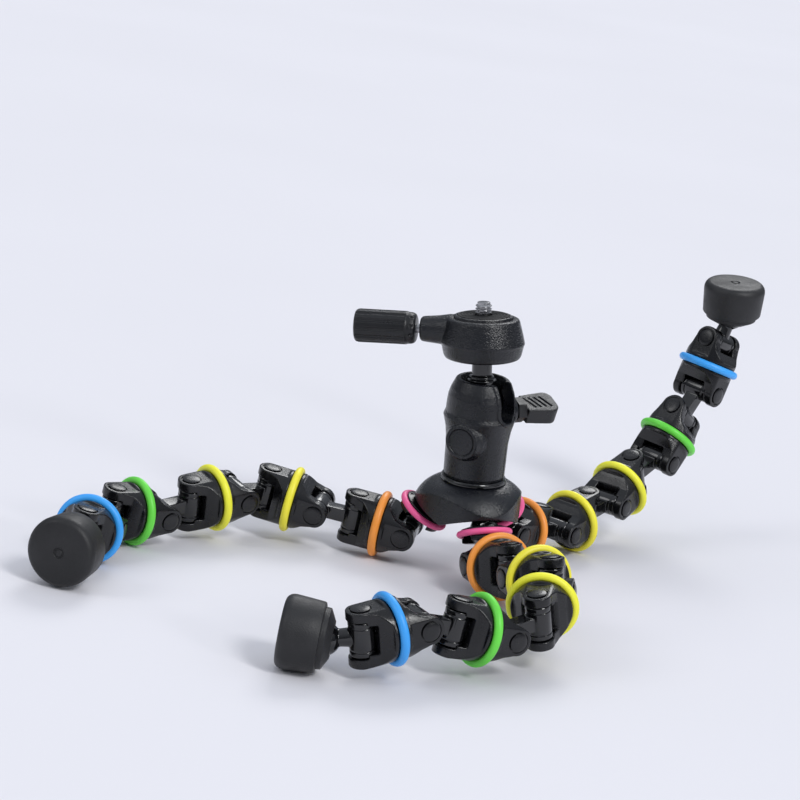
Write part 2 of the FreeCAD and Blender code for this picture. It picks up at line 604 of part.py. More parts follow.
def platform_shape():
    """Tapered platform with its clamp boss, the clamped mount plate, its pad and its screw."""
    base = PLATFORM_BASE_HEIGHT
    top = base + PLATFORM_HEIGHT
    outline = [(0, base), (PLATFORM_BASE_RADIUS, base), (PLATFORM_RIDGE_RADIUS, base + PLATFORM_RIDGE_RISE),
               (PLATFORM_TOP_RADIUS, top), (0, top)]
    body = revolved_z(outline)

    def rim(edge, middle):
        radius = math.hypot(middle.x, middle.y)
        return radius > PLATFORM_TOP_RADIUS - 0.01 and abs(middle.z - base - PLATFORM_RIDGE_RISE) > 1

    body = rounded_where(body, PLATFORM_EDGE_ROUND, rim)
    body = body.fuse(radial(CLAMP_AZIMUTH, base + CLAMP_RISE, 0, CLAMP_BOSS_REACH, CLAMP_BOSS_RADIUS))
    plate_bottom = top + PLATE_STAND_PROUD - PLATE_THICKNESS
    recess = Part.makeCylinder(PLATE_RADIUS + PLATE_FIT, PLATE_THICKNESS + 1, Vector(0, 0, plate_bottom), Z_AXIS)
    body = body.cut(recess)
    body = body.cut(Part.makeCylinder(STEM_RADIUS + RUNNING_CLEARANCE, STEM_THREAD_REACH,
                                      Vector(0, 0, base), Z_AXIS))
    head_room = MOUNT_SCREW_HEAD_HEIGHT + 0.4
    body = body.cut(Part.makeCylinder(MOUNT_SCREW_HEAD_RADIUS + PLATE_FIT, head_room,
                                      Vector(0, 0, plate_bottom - head_room), Z_AXIS))
    body = body.cut(radial(CLAMP_AZIMUTH, base + CLAMP_RISE, CLAMP_SHAFT_START - SIDE_CLEARANCE,
                           2 * CLAMP_BOSS_REACH, CLAMP_SHAFT_RADIUS + RUNNING_CLEARANCE))
    plate = Part.makeCylinder(PLATE_RADIUS, PLATE_THICKNESS, Vector(0, 0, plate_bottom), Z_AXIS)
    screw_hole = Part.makeCylinder(MOUNT_SCREW_NECK_RADIUS, PLATE_THICKNESS, Vector(0, 0, plate_bottom), Z_AXIS)
    pad_bottom = plate_bottom + PLATE_THICKNESS - PAD_THICKNESS + PAD_PROUD
    pad = Part.makeCylinder(PLATE_RADIUS - PAD_INSET, PAD_THICKNESS, Vector(0, 0, pad_bottom), Z_AXIS)
    plate = plate.cut(screw_hole).cut(pad)
    pad = pad.cut(Part.makeCylinder(MOUNT_SCREW_RADIUS + SIDE_CLEARANCE, PAD_THICKNESS,
                                    Vector(0, 0, pad_bottom), Z_AXIS))
    neck_length = PLATE_THICKNESS + PAD_PROUD + MOUNT_SCREW_NECK_PROUD
    thread_length = PLATE_THICKNESS + MOUNT_SCREW_REACH - neck_length
    screw = Part.makeCylinder(MOUNT_SCREW_NECK_RADIUS, neck_length, Vector(0, 0, plate_bottom), Z_AXIS)
    screw = screw.fuse(Part.makeCylinder(MOUNT_SCREW_RADIUS, thread_length,
                                         Vector(0, 0, plate_bottom + neck_length), Z_AXIS))
    screw = screw.fuse(Part.makeCylinder(MOUNT_SCREW_HEAD_RADIUS, MOUNT_SCREW_HEAD_HEIGHT,
                                         Vector(0, 0, plate_bottom - MOUNT_SCREW_HEAD_HEIGHT), Z_AXIS))
    return Part.makeCompound([body, plate, pad, screw.removeSplitter()])


def clamp_knob_shape():
    """Grooved cylindrical knob on a thin shaft; its axis is X here, with the knob at the far end."""
    start = CLAMP_BOSS_REACH + CLAMP_SHAFT_GAP
    end = start + CLAMP_KNOB_LENGTH
    body = cylinder_x(CLAMP_KNOB_RADIUS, start, end)

    def end_edge(edge, middle):
        return abs(middle.x - end) < 0.01 or abs(middle.x - start) < 0.01

    body = rounded_where(body, CLAMP_KNOB_ROUND, end_edge)
    for index in range(CLAMP_KNOB_GROOVES):
        angle = 2 * math.pi * index / CLAMP_KNOB_GROOVES
        spot = Vector(0, math.cos(angle), math.sin(angle)) * (CLAMP_KNOB_RADIUS + CLAMP_GROOVE_RADIUS * 0.3)
        cutter = cylinder_between(CLAMP_GROOVE_RADIUS, spot + X_AXIS * (start + CLAMP_GROOVE_START),
                                  spot + X_AXIS * (end + CLAMP_GROOVE_RADIUS))
        body = body.cut(cutter)
    shaft = cylinder_x(CLAMP_SHAFT_RADIUS, CLAMP_SHAFT_START, start + CLAMP_GROOVE_START)
    body = body.fuse(shaft).removeSplitter()
    body.Placement = turned(Z_AXIS, CLAMP_AZIMUTH) * moved(0, 0, PLATFORM_BASE_HEIGHT + CLAMP_RISE)
    return body


def lock_knob_shape():
    """Wing knob with a six-sided collar; its axis is X here."""
    seat = LOCK_PAD_REACH + LOCK_STAND_OFF
    collar_end = seat + LOCK_COLLAR_LENGTH
    corners = [Vector(seat, LOCK_COLLAR_RADIUS * math.cos(math.radians(60 * k)),
                      LOCK_COLLAR_RADIUS * math.sin(math.radians(60 * k))) for k in range(6)]
    collar = profile_face(corners).extrude(X_AXIS * LOCK_COLLAR_LENGTH)
    wing = centred_box(Vector(LOCK_WING_LENGTH, 2 * LOCK_WING_HALF_WIDTH, LOCK_WING_THICKNESS),
                       Vector(collar_end + LOCK_WING_LENGTH / 2, 0, 0))

    def outer_edge(edge, middle):
        return middle.x > collar_end + 1 and abs(abs(middle.y) - LOCK_WING_HALF_WIDTH) < 0.01 \
            and abs(middle.z) < 0.01

    wing = rounded_where(wing, LOCK_WING_ROUND, outer_edge)
    for index in range(LOCK_WING_RIBS):
        place = collar_end + LOCK_RIB_PITCH * (index + 1)
        for side in (-1, 1):
            groove = centred_box(Vector(LOCK_RIB_WIDTH, 4 * LOCK_WING_HALF_WIDTH, 2 * LOCK_RIB_DEPTH),
                                 Vector(place, 0, side * LOCK_WING_THICKNESS / 2))
            wing = wing.cut(groove)
    bolt = cylinder_x(LOCK_BORE_RADIUS, BALL_RADIUS + 1.0, seat + 1)
    body = bolt.fuse([collar, wing]).removeSplitter()
    body.Placement = (turned(Z_AXIS, LOCK_AZIMUTH) * moved(0, 0, LOCK_HEIGHT)
                      * turned(X_AXIS, LOCK_WING_TURN))
    return body


def hub_frame():
    """Frame of the hub: its origin is the seat under the ball housing."""
    return turned(Y_AXIS, -HUB_LEAN_LEFT) * turned(X_AXIS, HUB_LEAN_FORWARD)


def head_frame():
    """Frame of everything above the ball, which leans in its socket."""
    return (hub_frame() * moved(0, 0, BALL_HEIGHT) * turned(X_AXIS, -BALL_LEAN_BACK)
            * turned(Y_AXIS, -BALL_LEAN_LEFT) * moved(0, 0, -BALL_HEIGHT))


def leg_frames(name):
    """Frame of each piece of one leg, from the hub outward."""
    spec = REST_POSE[name]
    hinge = hub_frame() * turned(Z_AXIS, spec["azimuth"]) * moved(ROOT_HINGE_RADIUS, 0, -ROOT_HINGE_DEPTH)
    root = hinge * turned(Y_AXIS, spec["root"])
    frames = {"root": root}
    place = root * moved(ROOT_PIN_DISTANCE)
    for index in range(LINKS_PER_LEG):
        connector = place * turned(Z_AXIS, spec["swing"][index])
        frames["connector_%d" % index] = connector
        reach = ROOT_CONNECTOR_LENGTH if index == 0 else CONNECTOR_LENGTH
        link = connector * moved(reach) * turned(Y_AXIS, spec["nod"][index])
        frames["link_%d" % (index + 1)] = link
        place = link * moved(LINK_PIN_SPACING)
    stem = place * turned(Z_AXIS, spec["swing"][LINKS_PER_LEG])
    frames["foot_stem"] = stem
    nod, swing = spec["foot"]
    frames["foot_cap"] = stem * moved(FOOT_STEM_LENGTH) * turned(Y_AXIS, nod) * turned(Z_AXIS, swing)
    return frames


def placed(shape, frame):
    copy = shape.copy()
    copy.Placement = frame * copy.Placement
    return copy


def all_nodes():
    """Every node's shape, standing on the surface with the origin under the middle."""
    hub = hub_frame()
    head = head_frame()
    nodes = {
        "hub_shell": placed(hub_shape(), hub),
        "ball_housing": placed(housing_shape(), hub),
        "ball_stem": placed(ball_stem_shape(), head),
        "platform": placed(platform_shape(), head),
        "lock_knob": placed(lock_knob_shape(), hub),
        "clamp_knob": placed(clamp_knob_shape(), head),
    }
    shapes = {"root": root_shape(), "foot_stem": foot_stem_shape(), "foot_cap": foot_cap_shape(),
              "connector_0": connector_shape(ROOT_CONNECTOR_LENGTH, ROOT_BARREL_LENGTH)}
    link = link_shape()
    ring = ring_shape()
    connector = connector_shape(CONNECTOR_LENGTH, BARREL_LENGTH)
    for name in REST_POSE:
        for piece, frame in leg_frames(name).items():
            if piece in shapes:
                nodes["%s_%s" % (name, piece)] = placed(shapes[piece], frame)
            elif piece.startswith("link"):
                nodes["%s_%s" % (name, piece)] = placed(link, frame)
                nodes["%s_%s" % (name, piece.replace("link", "ring"))] = placed(ring, frame)
            else:
                nodes["%s_%s" % (name, piece)] = placed(connector, frame)
    return nodes


def standing_shift(nodes):
    """Move that puts the lowest point on the surface and the middle over the origin."""
    box = FreeCAD.BoundBox()
    for shape in nodes.values():
        box.add(shape.optimalBoundingBox(False, False))
    return Vector(-box.Center.x, -box.Center.y, -box.ZMin)


def main():
    os.makedirs("parts", exist_ok=True)
    nodes = all_nodes()
    shift = standing_shift(nodes)
    for name, shape in nodes.items():
        shape.translate(shift)
        shape.exportStep("parts/%s.step" % name)
    return nodes, shift


NODES, SHIFT = main()
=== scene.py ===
import json
import math

import bpy
from mathutils import Matrix, Vector

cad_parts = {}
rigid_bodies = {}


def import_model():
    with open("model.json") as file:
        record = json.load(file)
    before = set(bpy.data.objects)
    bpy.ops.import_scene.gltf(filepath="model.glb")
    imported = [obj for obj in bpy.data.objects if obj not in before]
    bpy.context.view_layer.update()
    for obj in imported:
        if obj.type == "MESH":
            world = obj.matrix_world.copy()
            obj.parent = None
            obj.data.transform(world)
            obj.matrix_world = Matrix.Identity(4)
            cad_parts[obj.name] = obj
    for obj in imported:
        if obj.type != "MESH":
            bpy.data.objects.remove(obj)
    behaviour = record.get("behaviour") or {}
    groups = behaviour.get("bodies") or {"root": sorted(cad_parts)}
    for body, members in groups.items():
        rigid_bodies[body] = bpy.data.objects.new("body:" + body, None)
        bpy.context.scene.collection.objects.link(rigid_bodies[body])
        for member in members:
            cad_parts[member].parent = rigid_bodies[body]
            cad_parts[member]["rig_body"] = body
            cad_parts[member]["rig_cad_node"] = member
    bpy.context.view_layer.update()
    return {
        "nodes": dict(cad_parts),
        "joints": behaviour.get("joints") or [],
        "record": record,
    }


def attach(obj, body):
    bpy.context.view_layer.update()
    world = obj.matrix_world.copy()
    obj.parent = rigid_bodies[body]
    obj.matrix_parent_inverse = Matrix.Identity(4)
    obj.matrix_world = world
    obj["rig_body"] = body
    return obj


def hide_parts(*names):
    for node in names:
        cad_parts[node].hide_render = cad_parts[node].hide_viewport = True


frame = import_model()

# Phone tripod: three jointed legs with coloured rings, a ball head and a clamping platform.
# Pieces are modelled in millimetres in their own frame and then carried to their place.
MM = 0.001
TURN_Z_TO = {"X": (0, math.radians(90), 0), "Y": (math.radians(-90), 0, 0), "Z": (0, 0, 0)}

LEGS = ("left", "front", "right")
LINKS = (1, 2, 3, 4, 5)

# Leg sizes
LINK_SPACING = 21.2
LINK_RADIUS = 11.2
WAIST_START = 7.3
WAIST_END = 13.9
WAIST_EDGE = 0.3
EAR_RADIUS = 5.2
EAR_OUTER = 10.2
EAR_GAP = 13.6
EAR_DRAW = ((0.86, 8.9), (0.5, 6.5))
GAP_FLOOR = 4.9
GAP_CORNER = 1.4
SHOULDER = 9.6
GROOVE_RADIUS = 10.0
GROOVE_HALF = 1.7
PIN_RADIUS = 2.0
PIN_HEAD_RADIUS = 3.4
PIN_HEAD_HEIGHT = 0.7
PIN_HEAD_SEAT = 0.4
PIN_RECESS_GAP = 0.55
PIN_RECESS_DEPTH = 0.9
RING_RADIUS = 11.6
RING_TUBE = 1.6
BARREL_RADIUS = 4.65
BARREL_LENGTH = 13.2
BARREL_SEAM = 4.3
BARREL_SEAM_DEPTH = 0.25
BARREL_EDGE = 0.5
CONNECTOR_LENGTH = 15.0
NECK_HALF_WIDTH = 2.9
BORE_RADIUS = 2.05

# Leg root sizes
ROOT_PIN_DISTANCE = 10.8
ROOT_CONNECTOR_LENGTH = 12.0
ROOT_BARREL_LENGTH = 9.4
ROOT_COLLAR_RADIUS = 9.1
ROOT_COLLAR_START = 9.4
ROOT_END = 14.5
ROOT_GROOVE_RADIUS = 8.3
ROOT_RING_PLACE = 11.2
ROOT_RING_RADIUS = 9.55
ROOT_RING_TUBE = 1.25
ROOT_EYE_RADIUS = 3.2
ROOT_TONGUE_WIDTH = 8.0
ROOT_HINGE_BORE = 1.45
ROOT_PIN_LENGTH = 16.2
SIDE_CLEARANCE = 0.2

# Foot sizes
FOOT_BALL_PLACE = 13.0
FOOT_BALL_RADIUS = 6.0
FOOT_NECK_PROFILE = [(0, 3.5), (3.0, 3.5), (5.0, 3.3), (7.0, 3.15), (9.5, 3.1)]
FOOT_CAP_PROFILE = [
    (-0.4, 6.04), (-2.9, 5.6), (-3.0, 6.6), (-2.6, 7.3), (-1.7, 9.0), (-1.1, 10.2), (-0.8, 10.6),
    (0.9, 10.75), (1.0, 11.6), (1.2, 12.1), (1.7, 12.35), (6.6, 12.7), (11.6, 13.0), (12.6, 12.9),
    (13.5, 12.6), (14.3, 12.0), (14.8, 11.3), (15.0, 10.5), (15.03, 6.0), (15.03, 2.05),
    (14.7, 1.85), (14.62, 1.6), (14.7, 1.35), (15.0, 1.15), (15.03, 0.3)]

# Head sizes
BALL_HEIGHT = 30.0
BALL_RADIUS = 8.2
SOCKET_RADIUS = 8.5
PLATFORM_BASE = 46.6
STEM_THREAD_REACH = 5.0
STEM_RADIUS = 3.9
STEM_BORE_RADIUS = 3.95
CLAMP_AZIMUTH = 172.0
CLAMP_RISE = 10.5
LOCK_AZIMUTH = 30.0
LOCK_HEIGHT = 25.4
LOCK_TURN = 20.0
SLOT_AZIMUTH = -36.0
SEAM_AZIMUTH = -20.0
SLOT_WIDTH = 8.4
SLOT_AXIS_HEIGHT = 28.6
SLOT_RIM_WIDTH = 2.8
SLOT_RIM_HEIGHT = 0.55
SEAM_WIDTH = 0.4
BOSS_AZIMUTH = -116.0
BOSS_HEIGHT = 16.4
BOSS_RECESS_RADIUS = 5.35
LOCK_BORE_RADIUS = 2.3
CLAMP_BORE_RADIUS = 1.85
PLATE_RECESS_RADIUS = 11.35
FRONT_LEG_AZIMUTH = -68.8
ROOT_HINGE_DEPTH = 8.0

# Turned profiles of the head: (place, radius)
HOUSING_PROFILE = [
    (0.0, 11.3), (0.9, 11.3), (1.0, 11.9), (8.0, 12.0), (14.0, 12.1), (19.0, 12.75), (23.2, 13.8),
    (23.8, 14.0), (24.3, 13.95), (25.9, 13.3), (29.5, 13.15), (32.2, 12.9), (35.0, 12.1), (37.2, 11.1),
    (38.6, 10.4), (39.0, 9.9)]
MOUTH_PROFILE = [(34.5, 7.2), (39.0, 8.8), (41.0, 9.3)]
BOSS_PROFILE = [
    (5.0, 8.6), (11.2, 8.2), (12.4, 7.4), (13.4, 7.0), (14.0, 6.75), (14.3, 6.3), (14.3, 5.4)]
BOSS_CAP_PROFILE = [(12.0, 5.1), (13.75, 5.1), (14.05, 4.9), (14.15, 4.4), (14.22, 1.5)]
LOCK_PAD_PROFILE = [(6.0, 6.6), (12.5, 5.8), (14.3, 5.0), (14.6, 4.7)]
STEM_PROFILE = [
    (34.0, 5.2), (37.4, 5.6), (37.7, 5.75), (38.5, 5.75), (38.8, 5.5), (39.0, 4.8), (39.9, 4.75),
    (40.2, 4.4), (40.3, STEM_RADIUS), (PLATFORM_BASE + STEM_THREAD_REACH - 0.1, STEM_RADIUS)]
PLATFORM_PROFILE = [
    (0.0, 11.4), (0.12, 13.2), (0.7, 14.4), (1.8, 15.0), (3.6, 15.45), (5.6, 15.85), (6.2, 16.2),
    (6.6, 16.2), (8.6, 15.75), (12.0, 14.9), (14.9, 14.1), (15.6, 13.75), (16.0, 13.0)]
CLAMP_BOSS_PROFILE = [(6.0, 6.4), (13.0, 6.2), (17.0, 5.5), (22.6, 4.95), (23.6, 4.7), (24.2, 4.0)]
PLATE_PROFILE = [
    (13.0, 11.2), (16.5, 11.2), (16.85, 11.0), (17.0, 10.6), (17.0, 10.15), (16.3, 10.05), (16.3, 2.9),
    (13.2, 2.8)]
CLAMP_GRIP_PROFILE = [
    (25.8, 4.6), (26.1, 5.3), (26.7, 5.85), (27.6, 6.1), (29.0, 6.2), (29.6, 6.45), (48.2, 6.5),
    (49.2, 6.2), (49.7, 5.6), (49.8, 4.8)]
CLAMP_SHAFT_PROFILE = [(7.7, 1.6), (7.9, 1.8), (27.0, 1.8)]
SEAT_LIP_PROFILE = [
    (-1.6, 12.6), (-1.3, 12.95), (-0.9, 12.95), (-0.7, 12.6), (-0.55, 12.6), (-0.3, 12.5), (0.0, 12.2),
    (0.0, 4.0), (-1.6, 4.0)]

# Clamp grip, wing knob, pad and screw
FLUTES = 12
FLUTE_RADIUS = 0.8
FLUTE_START = 29.8
FLUTE_LENGTH = 20.8
FLUTE_REACH = 6.74
NOTCHES = 10
NOTCH_RADIUS = 0.55
NOTCH_PLACE = 26.6
NOTCH_REACH = 6.0
WING_SEAT = 15.1
WING_COLLAR_END = 18.7
WING_COLLAR_RADIUS = 5.0
WING_SIZE = (14.0, 12.8, 6.8)
WING_TAPER = (1, 0.78, 0.92)
WING_CORNER = 4.0
WING_RIBS = 4
WING_RIB_SPACING = 2.4
WING_RIB_SLANT = 24
PAD_TOP = 17.3
PAD_GROOVE = 17.05
PAD_RING_SPACING = 1.2
THREAD_START = 17.7
THREAD_END = 21.4
THREAD_PITCH = 1.27
THREAD_CORE = 2.55
THREAD_CREST = 3.15


# Modelling steps

def deselect():
    bpy.ops.object.select_all(action="DESELECT")


def pick(piece):
    deselect()
    piece.select_set(True)
    bpy.context.view_layer.objects.active = piece


def named(name):
    """Names the primitive that was just added and puts its place and turn into its mesh."""
    piece = bpy.context.object
    piece.name = name
    pick(piece)
    bpy.ops.object.transform_apply(location=True, rotation=True, scale=True)
    return piece


def ball(name, radius, centre, segments):
    deselect()
    bpy.ops.mesh.primitive_uv_sphere_add(segments=segments, ring_count=segments // 2, radius=radius,
                                         location=centre)
    return named(name)


def rod(name, radius, length, centre=(0, 0, 0), axis="X", sides=64):
    deselect()
    bpy.ops.mesh.primitive_cylinder_add(vertices=sides, radius=radius, depth=length, location=centre,
                                        rotation=TURN_Z_TO[axis])
    return named(name)


def block(name, size, centre=(0, 0, 0)):
    deselect()
    bpy.ops.mesh.primitive_cube_add(size=1, location=centre, scale=size)
    return named(name)


def turned_form(name, stations, axis="X", sides=96):
    """Closed form turned on a lathe: a disc extruded from station to station of (place, radius)."""
    deselect()
    place, radius = stations[0]
    bpy.ops.mesh.primitive_circle_add(vertices=sides, radius=radius, fill_type="NGON",
                                      location=(0, 0, place))
    piece = named(name)
    bpy.ops.object.mode_set(mode="EDIT")
    bpy.ops.mesh.select_all(action="SELECT")
    for next_place, next_radius in stations[1:]:
        bpy.ops.mesh.extrude_region_move(TRANSFORM_OT_translate={"value": (0, 0, next_place - place)})
        share = next_radius / radius
        bpy.ops.transform.resize(value=(share, share, 1), center_override=(0, 0, next_place))
        place, radius = next_place, next_radius
    bpy.ops.mesh.select_all(action="SELECT")
    bpy.ops.mesh.normals_make_consistent(inside=False)
    bpy.ops.object.mode_set(mode="OBJECT")
    if axis != "Z":
        piece.rotation_euler = TURN_Z_TO[axis]
        pick(piece)
        bpy.ops.object.transform_apply(location=False, rotation=True, scale=False)
    return piece


def drawn_form(name, stations):
    """Closed four-sided form along X, extruded through (place, half width, half height)."""
    deselect()
    place, wide, high = stations[0]
    bpy.ops.mesh.primitive_plane_add(size=2, location=(place, 0, 0), rotation=TURN_Z_TO["X"])
    piece = named(name)
    bpy.ops.object.mode_set(mode="EDIT")
    bpy.ops.mesh.select_all(action="SELECT")
    bpy.ops.transform.resize(value=(1, wide, high), center_override=(place, 0, 0))
    for next_place, next_wide, next_high in stations[1:]:
        bpy.ops.mesh.extrude_region_move(TRANSFORM_OT_translate={"value": (next_place - place, 0, 0)})
        share = (1, next_wide / wide, next_high / high)
        bpy.ops.transform.resize(value=share, center_override=(next_place, 0, 0))
        place, wide, high = next_place, next_wide, next_high
    bpy.ops.mesh.select_all(action="SELECT")
    bpy.ops.mesh.normals_make_consistent(inside=False)
    bpy.ops.object.mode_set(mode="OBJECT")
    return piece


def finish_modifier(piece, modifier):
    pick(piece)
    bpy.ops.object.modifier_apply(modifier=modifier.name)


def combine(piece, tool, operation):
    modifier = piece.modifiers.new("combine", "BOOLEAN")
    modifier.operation = operation
    modifier.solver = "EXACT"
    modifier.object = tool
    finish_modifier(piece, modifier)
    bpy.data.objects.remove(tool)


def cut(piece, *tools):
    for tool in tools:
        combine(piece, tool, "DIFFERENCE")
    return piece


def weld(piece, *others):
    for other in others:
        combine(piece, other, "UNION")
    return piece


def trim(piece, tool):
    combine(piece, tool, "INTERSECT")
    return piece


def smooth(piece, angle):
    pick(piece)
    bpy.ops.object.shade_smooth_by_angle(angle=math.radians(angle))
    return piece


def moulded(piece, grain, softness, kept):
    """Rounds every edge as moulded plastic has it: fine remesh, light smoothing, fewer faces."""
    remesh = piece.modifiers.new("skin", "REMESH")
    remesh.mode = "VOXEL"
    remesh.voxel_size = grain
    finish_modifier(piece, remesh)
    soften = piece.modifiers.new("soften", "SMOOTH")
    soften.factor = 0.5
    soften.iterations = softness
    finish_modifier(piece, soften)
    thin = piece.modifiers.new("thin", "DECIMATE")
    thin.ratio = kept
    finish_modifier(piece, thin)
    pick(piece)
    bpy.ops.object.shade_smooth()
    return piece


def joined(name, *pieces):
    deselect()
    for piece in pieces:
        piece.select_set(True)
    bpy.context.view_layer.objects.active = pieces[0]
    bpy.ops.object.join()
    pieces[0].name = name
    return pieces[0]


def scaled(frame_matrix):
    return frame_matrix @ Matrix.Scale(MM, 4)


MASTERS = []


def master(piece):
    piece.name = "pattern_" + piece.name
    MASTERS.append(piece)
    return piece


def put(pattern, name, place, body, slot, material, *replaced):
    """Copies a master with its own mesh to its place and makes it ride on its body."""
    piece = pattern.copy()
    piece.data = pattern.data.copy()
    piece.name = name
    piece.data.name = name
    bpy.context.scene.collection.objects.link(piece)
    piece.data.transform(scaled(place))
    piece.data.materials.clear()
    piece.data.materials.append(material)
    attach(piece, body)
    if replaced:
        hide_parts(*replaced)
    return piece


# Places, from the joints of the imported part

JOINTS = {joint["name"]: joint for joint in frame["joints"]}


def pin_at(joint):
    return Vector(JOINTS[joint]["pos_m"])


def pin_axis(joint):
    return Vector(JOINTS[joint]["axis"]).normalized()


def placed_frame(origin, x, y=None, z=None):
    """Frame with X along x, and Y or Z as near as can be to the given axis."""
    x = x.normalized()
    if z is not None:
        y = z.cross(x).normalized()
        z = x.cross(y)
    else:
        z = x.cross(y).normalized()
        y = z.cross(x)
    matrix = Matrix((x, y, z)).transposed().to_4x4()
    matrix.translation = origin
    return matrix


def link_frame(leg, number):
    start = pin_at("%s_nod_%d" % (leg, number))
    end = pin_at("%s_swing_%d" % (leg, number))
    return placed_frame(start, end - start, z=pin_axis("%s_swing_%d" % (leg, number)))


def connector_frame(leg, number):
    start = pin_at("%s_swing_%d" % (leg, number))
    end = pin_at("%s_nod_%d" % (leg, number + 1))
    return placed_frame(start, end - start, z=pin_axis("%s_swing_%d" % (leg, number)))


def root_frame(leg):
    start = pin_at(leg + "_root_tilt")
    return placed_frame(start, pin_at(leg + "_swing_0") - start, y=pin_axis(leg + "_root_tilt"))


def stem_frame(leg):
    start = pin_at(leg + "_swing_5")
    return placed_frame(start, pin_at(leg + "_foot_tilt") - start, z=pin_axis(leg + "_swing_5"))


def cap_frame(leg):
    sole = next(mount for mount in frame["record"]["mounts"] if mount["name"] == leg + "_sole")
    return placed_frame(pin_at(leg + "_foot_tilt"), Vector(sole["axis"]), y=pin_axis(leg + "_foot_tilt"))


def hub_frame():
    """Frame of the hub, its origin on the seat of the ball housing."""
    front, left, right = (pin_at(leg + "_root_tilt") for leg in ("front", "left", "right"))
    centre = (front + left + right) / 3
    up = (right - front).cross(left - front).normalized()
    turn_back = Matrix.Rotation(math.radians(-FRONT_LEG_AZIMUTH), 3, up)
    x = turn_back @ (front - centre)
    return placed_frame(centre + up * (ROOT_HINGE_DEPTH * MM), x, z=up)


def head_frame():
    """Frame of what leans with the ball, its origin as far below the ball as the seat is."""
    up = pin_axis("platform_pan")
    towards_knob = pin_axis("clamp_turn")
    turn_back = Matrix.Rotation(math.radians(-CLAMP_AZIMUTH), 3, up)
    return placed_frame(pin_at("ball_tilt") - up * (BALL_HEIGHT * MM), turn_back @ towards_knob, z=up)


HUB = hub_frame()
HEAD = head_frame()
PLATFORM_FRAME = HEAD @ Matrix.Translation((0, 0, PLATFORM_BASE * MM))


# Materials

def node_tree(name):
    material = bpy.data.materials.new(name)
    material.use_nodes = True
    nodes = material.node_tree.nodes
    links = material.node_tree.links
    shader = nodes["Principled BSDF"]
    place = nodes.new("ShaderNodeTexCoord")
    return material, nodes, links, shader, place


def noise(nodes, links, place, scale, detail=2.0, stretch=None):
    texture = nodes.new("ShaderNodeTexNoise")
    texture.inputs["Scale"].default_value = scale
    texture.inputs["Detail"].default_value = detail
    if stretch:
        mapping = nodes.new("ShaderNodeMapping")
        mapping.inputs["Scale"].default_value = stretch
        links.new(place.outputs["Object"], mapping.inputs["Vector"])
        links.new(mapping.outputs["Vector"], texture.inputs["Vector"])
    else:
        links.new(place.outputs["Object"], texture.inputs["Vector"])
    return texture


def ramp(nodes, links, source, low, high, low_place=0.35, high_place=0.65):
    node = nodes.new("ShaderNodeValToRGB")
    node.color_ramp.elements[0].position = low_place
    node.color_ramp.elements[1].position = high_place
    node.color_ramp.elements[0].color = low
    node.color_ramp.elements[1].color = high
    links.new(source, node.inputs["Fac"])
    return node


def grey(value):
    return (value, value, value, 1)


def tinted(colour, share):
    return tuple(min(1.0, channel * share) for channel in colour) + (1,)


def surface(name, colour, roughness, spread, grain_scale, grain_height, scuffs, variation=0.25,
            coat=0.0, specular=0.5):
    """Colour with slow variation, fine scuffs, uneven roughness and a moulded grain."""
    material, nodes, links, shader, place = node_tree(name)
    slow = noise(nodes, links, place, 60.0, 3.0)
    body = ramp(nodes, links, slow.outputs["Fac"], tinted(colour, 1 - variation),
                tinted(colour, 1 + variation))
    scratch = noise(nodes, links, place, 900.0, 4.0, stretch=(1.0, 0.16, 0.5))
    marks = ramp(nodes, links, scratch.outputs["Fac"], grey(0.0), grey(scuffs), 0.62, 0.8)
    blend = nodes.new("ShaderNodeMixRGB")
    blend.blend_type = "ADD"
    blend.inputs["Fac"].default_value = 1.0
    links.new(body.outputs["Color"], blend.inputs["Color1"])
    links.new(marks.outputs["Color"], blend.inputs["Color2"])
    links.new(blend.outputs["Color"], shader.inputs["Base Color"])
    patches = noise(nodes, links, place, 180.0, 3.0)
    uneven = ramp(nodes, links, patches.outputs["Fac"], grey(roughness - spread),
                  grey(roughness + spread), 0.3, 0.7)
    links.new(uneven.outputs["Color"], shader.inputs["Roughness"])
    grain = noise(nodes, links, place, grain_scale, 2.0)
    bump = nodes.new("ShaderNodeBump")
    bump.inputs["Strength"].default_value = 1.0
    bump.inputs["Distance"].default_value = grain_height
    links.new(grain.outputs["Fac"], bump.inputs["Height"])
    links.new(bump.outputs["Normal"], shader.inputs["Normal"])
    shader.inputs["Specular IOR Level"].default_value = specular
    shader.inputs["Coat Weight"].default_value = coat
    shader.inputs["Coat Roughness"].default_value = 0.12
    return material


SHELL = surface("grained shell plastic", (0.0044, 0.0051, 0.0078), roughness=0.27, spread=0.04,
                grain_scale=1900.0, grain_height=0.0002, scuffs=0.002)
PLATFORM_PAINT = surface("granular platform coating", (0.004, 0.0045, 0.0066), roughness=0.23,
                         spread=0.04, grain_scale=1650.0, grain_height=0.00028, scuffs=0.003)
LEG_PLASTIC = surface("leg plastic", (0.0036, 0.0036, 0.0046), roughness=0.25, spread=0.07,
                      grain_scale=3000.0, grain_height=0.00004, scuffs=0.002)
GLOSS = surface("gloss black plastic", (0.0026, 0.0026, 0.0032), roughness=0.15, spread=0.05,
                grain_scale=1400.0, grain_height=0.000012, scuffs=0.001, coat=0.4)
KNOB_PLASTIC = surface("knob plastic", (0.0046, 0.0047, 0.006), roughness=0.3, spread=0.05,
                       grain_scale=3000.0, grain_height=0.00012, scuffs=0.002)
FOOT_RUBBER = surface("foot rubber", (0.016, 0.016, 0.0172), roughness=0.48, spread=0.08,
                      grain_scale=2000.0, grain_height=0.0001, scuffs=0.004, specular=0.4)
STEEL = surface("screw steel", (0.42, 0.42, 0.43), roughness=0.28, spread=0.06,
                grain_scale=2600.0, grain_height=0.00001, scuffs=0.03, variation=0.1)
STEEL.node_tree.nodes["Principled BSDF"].inputs["Metallic"].default_value = 1.0
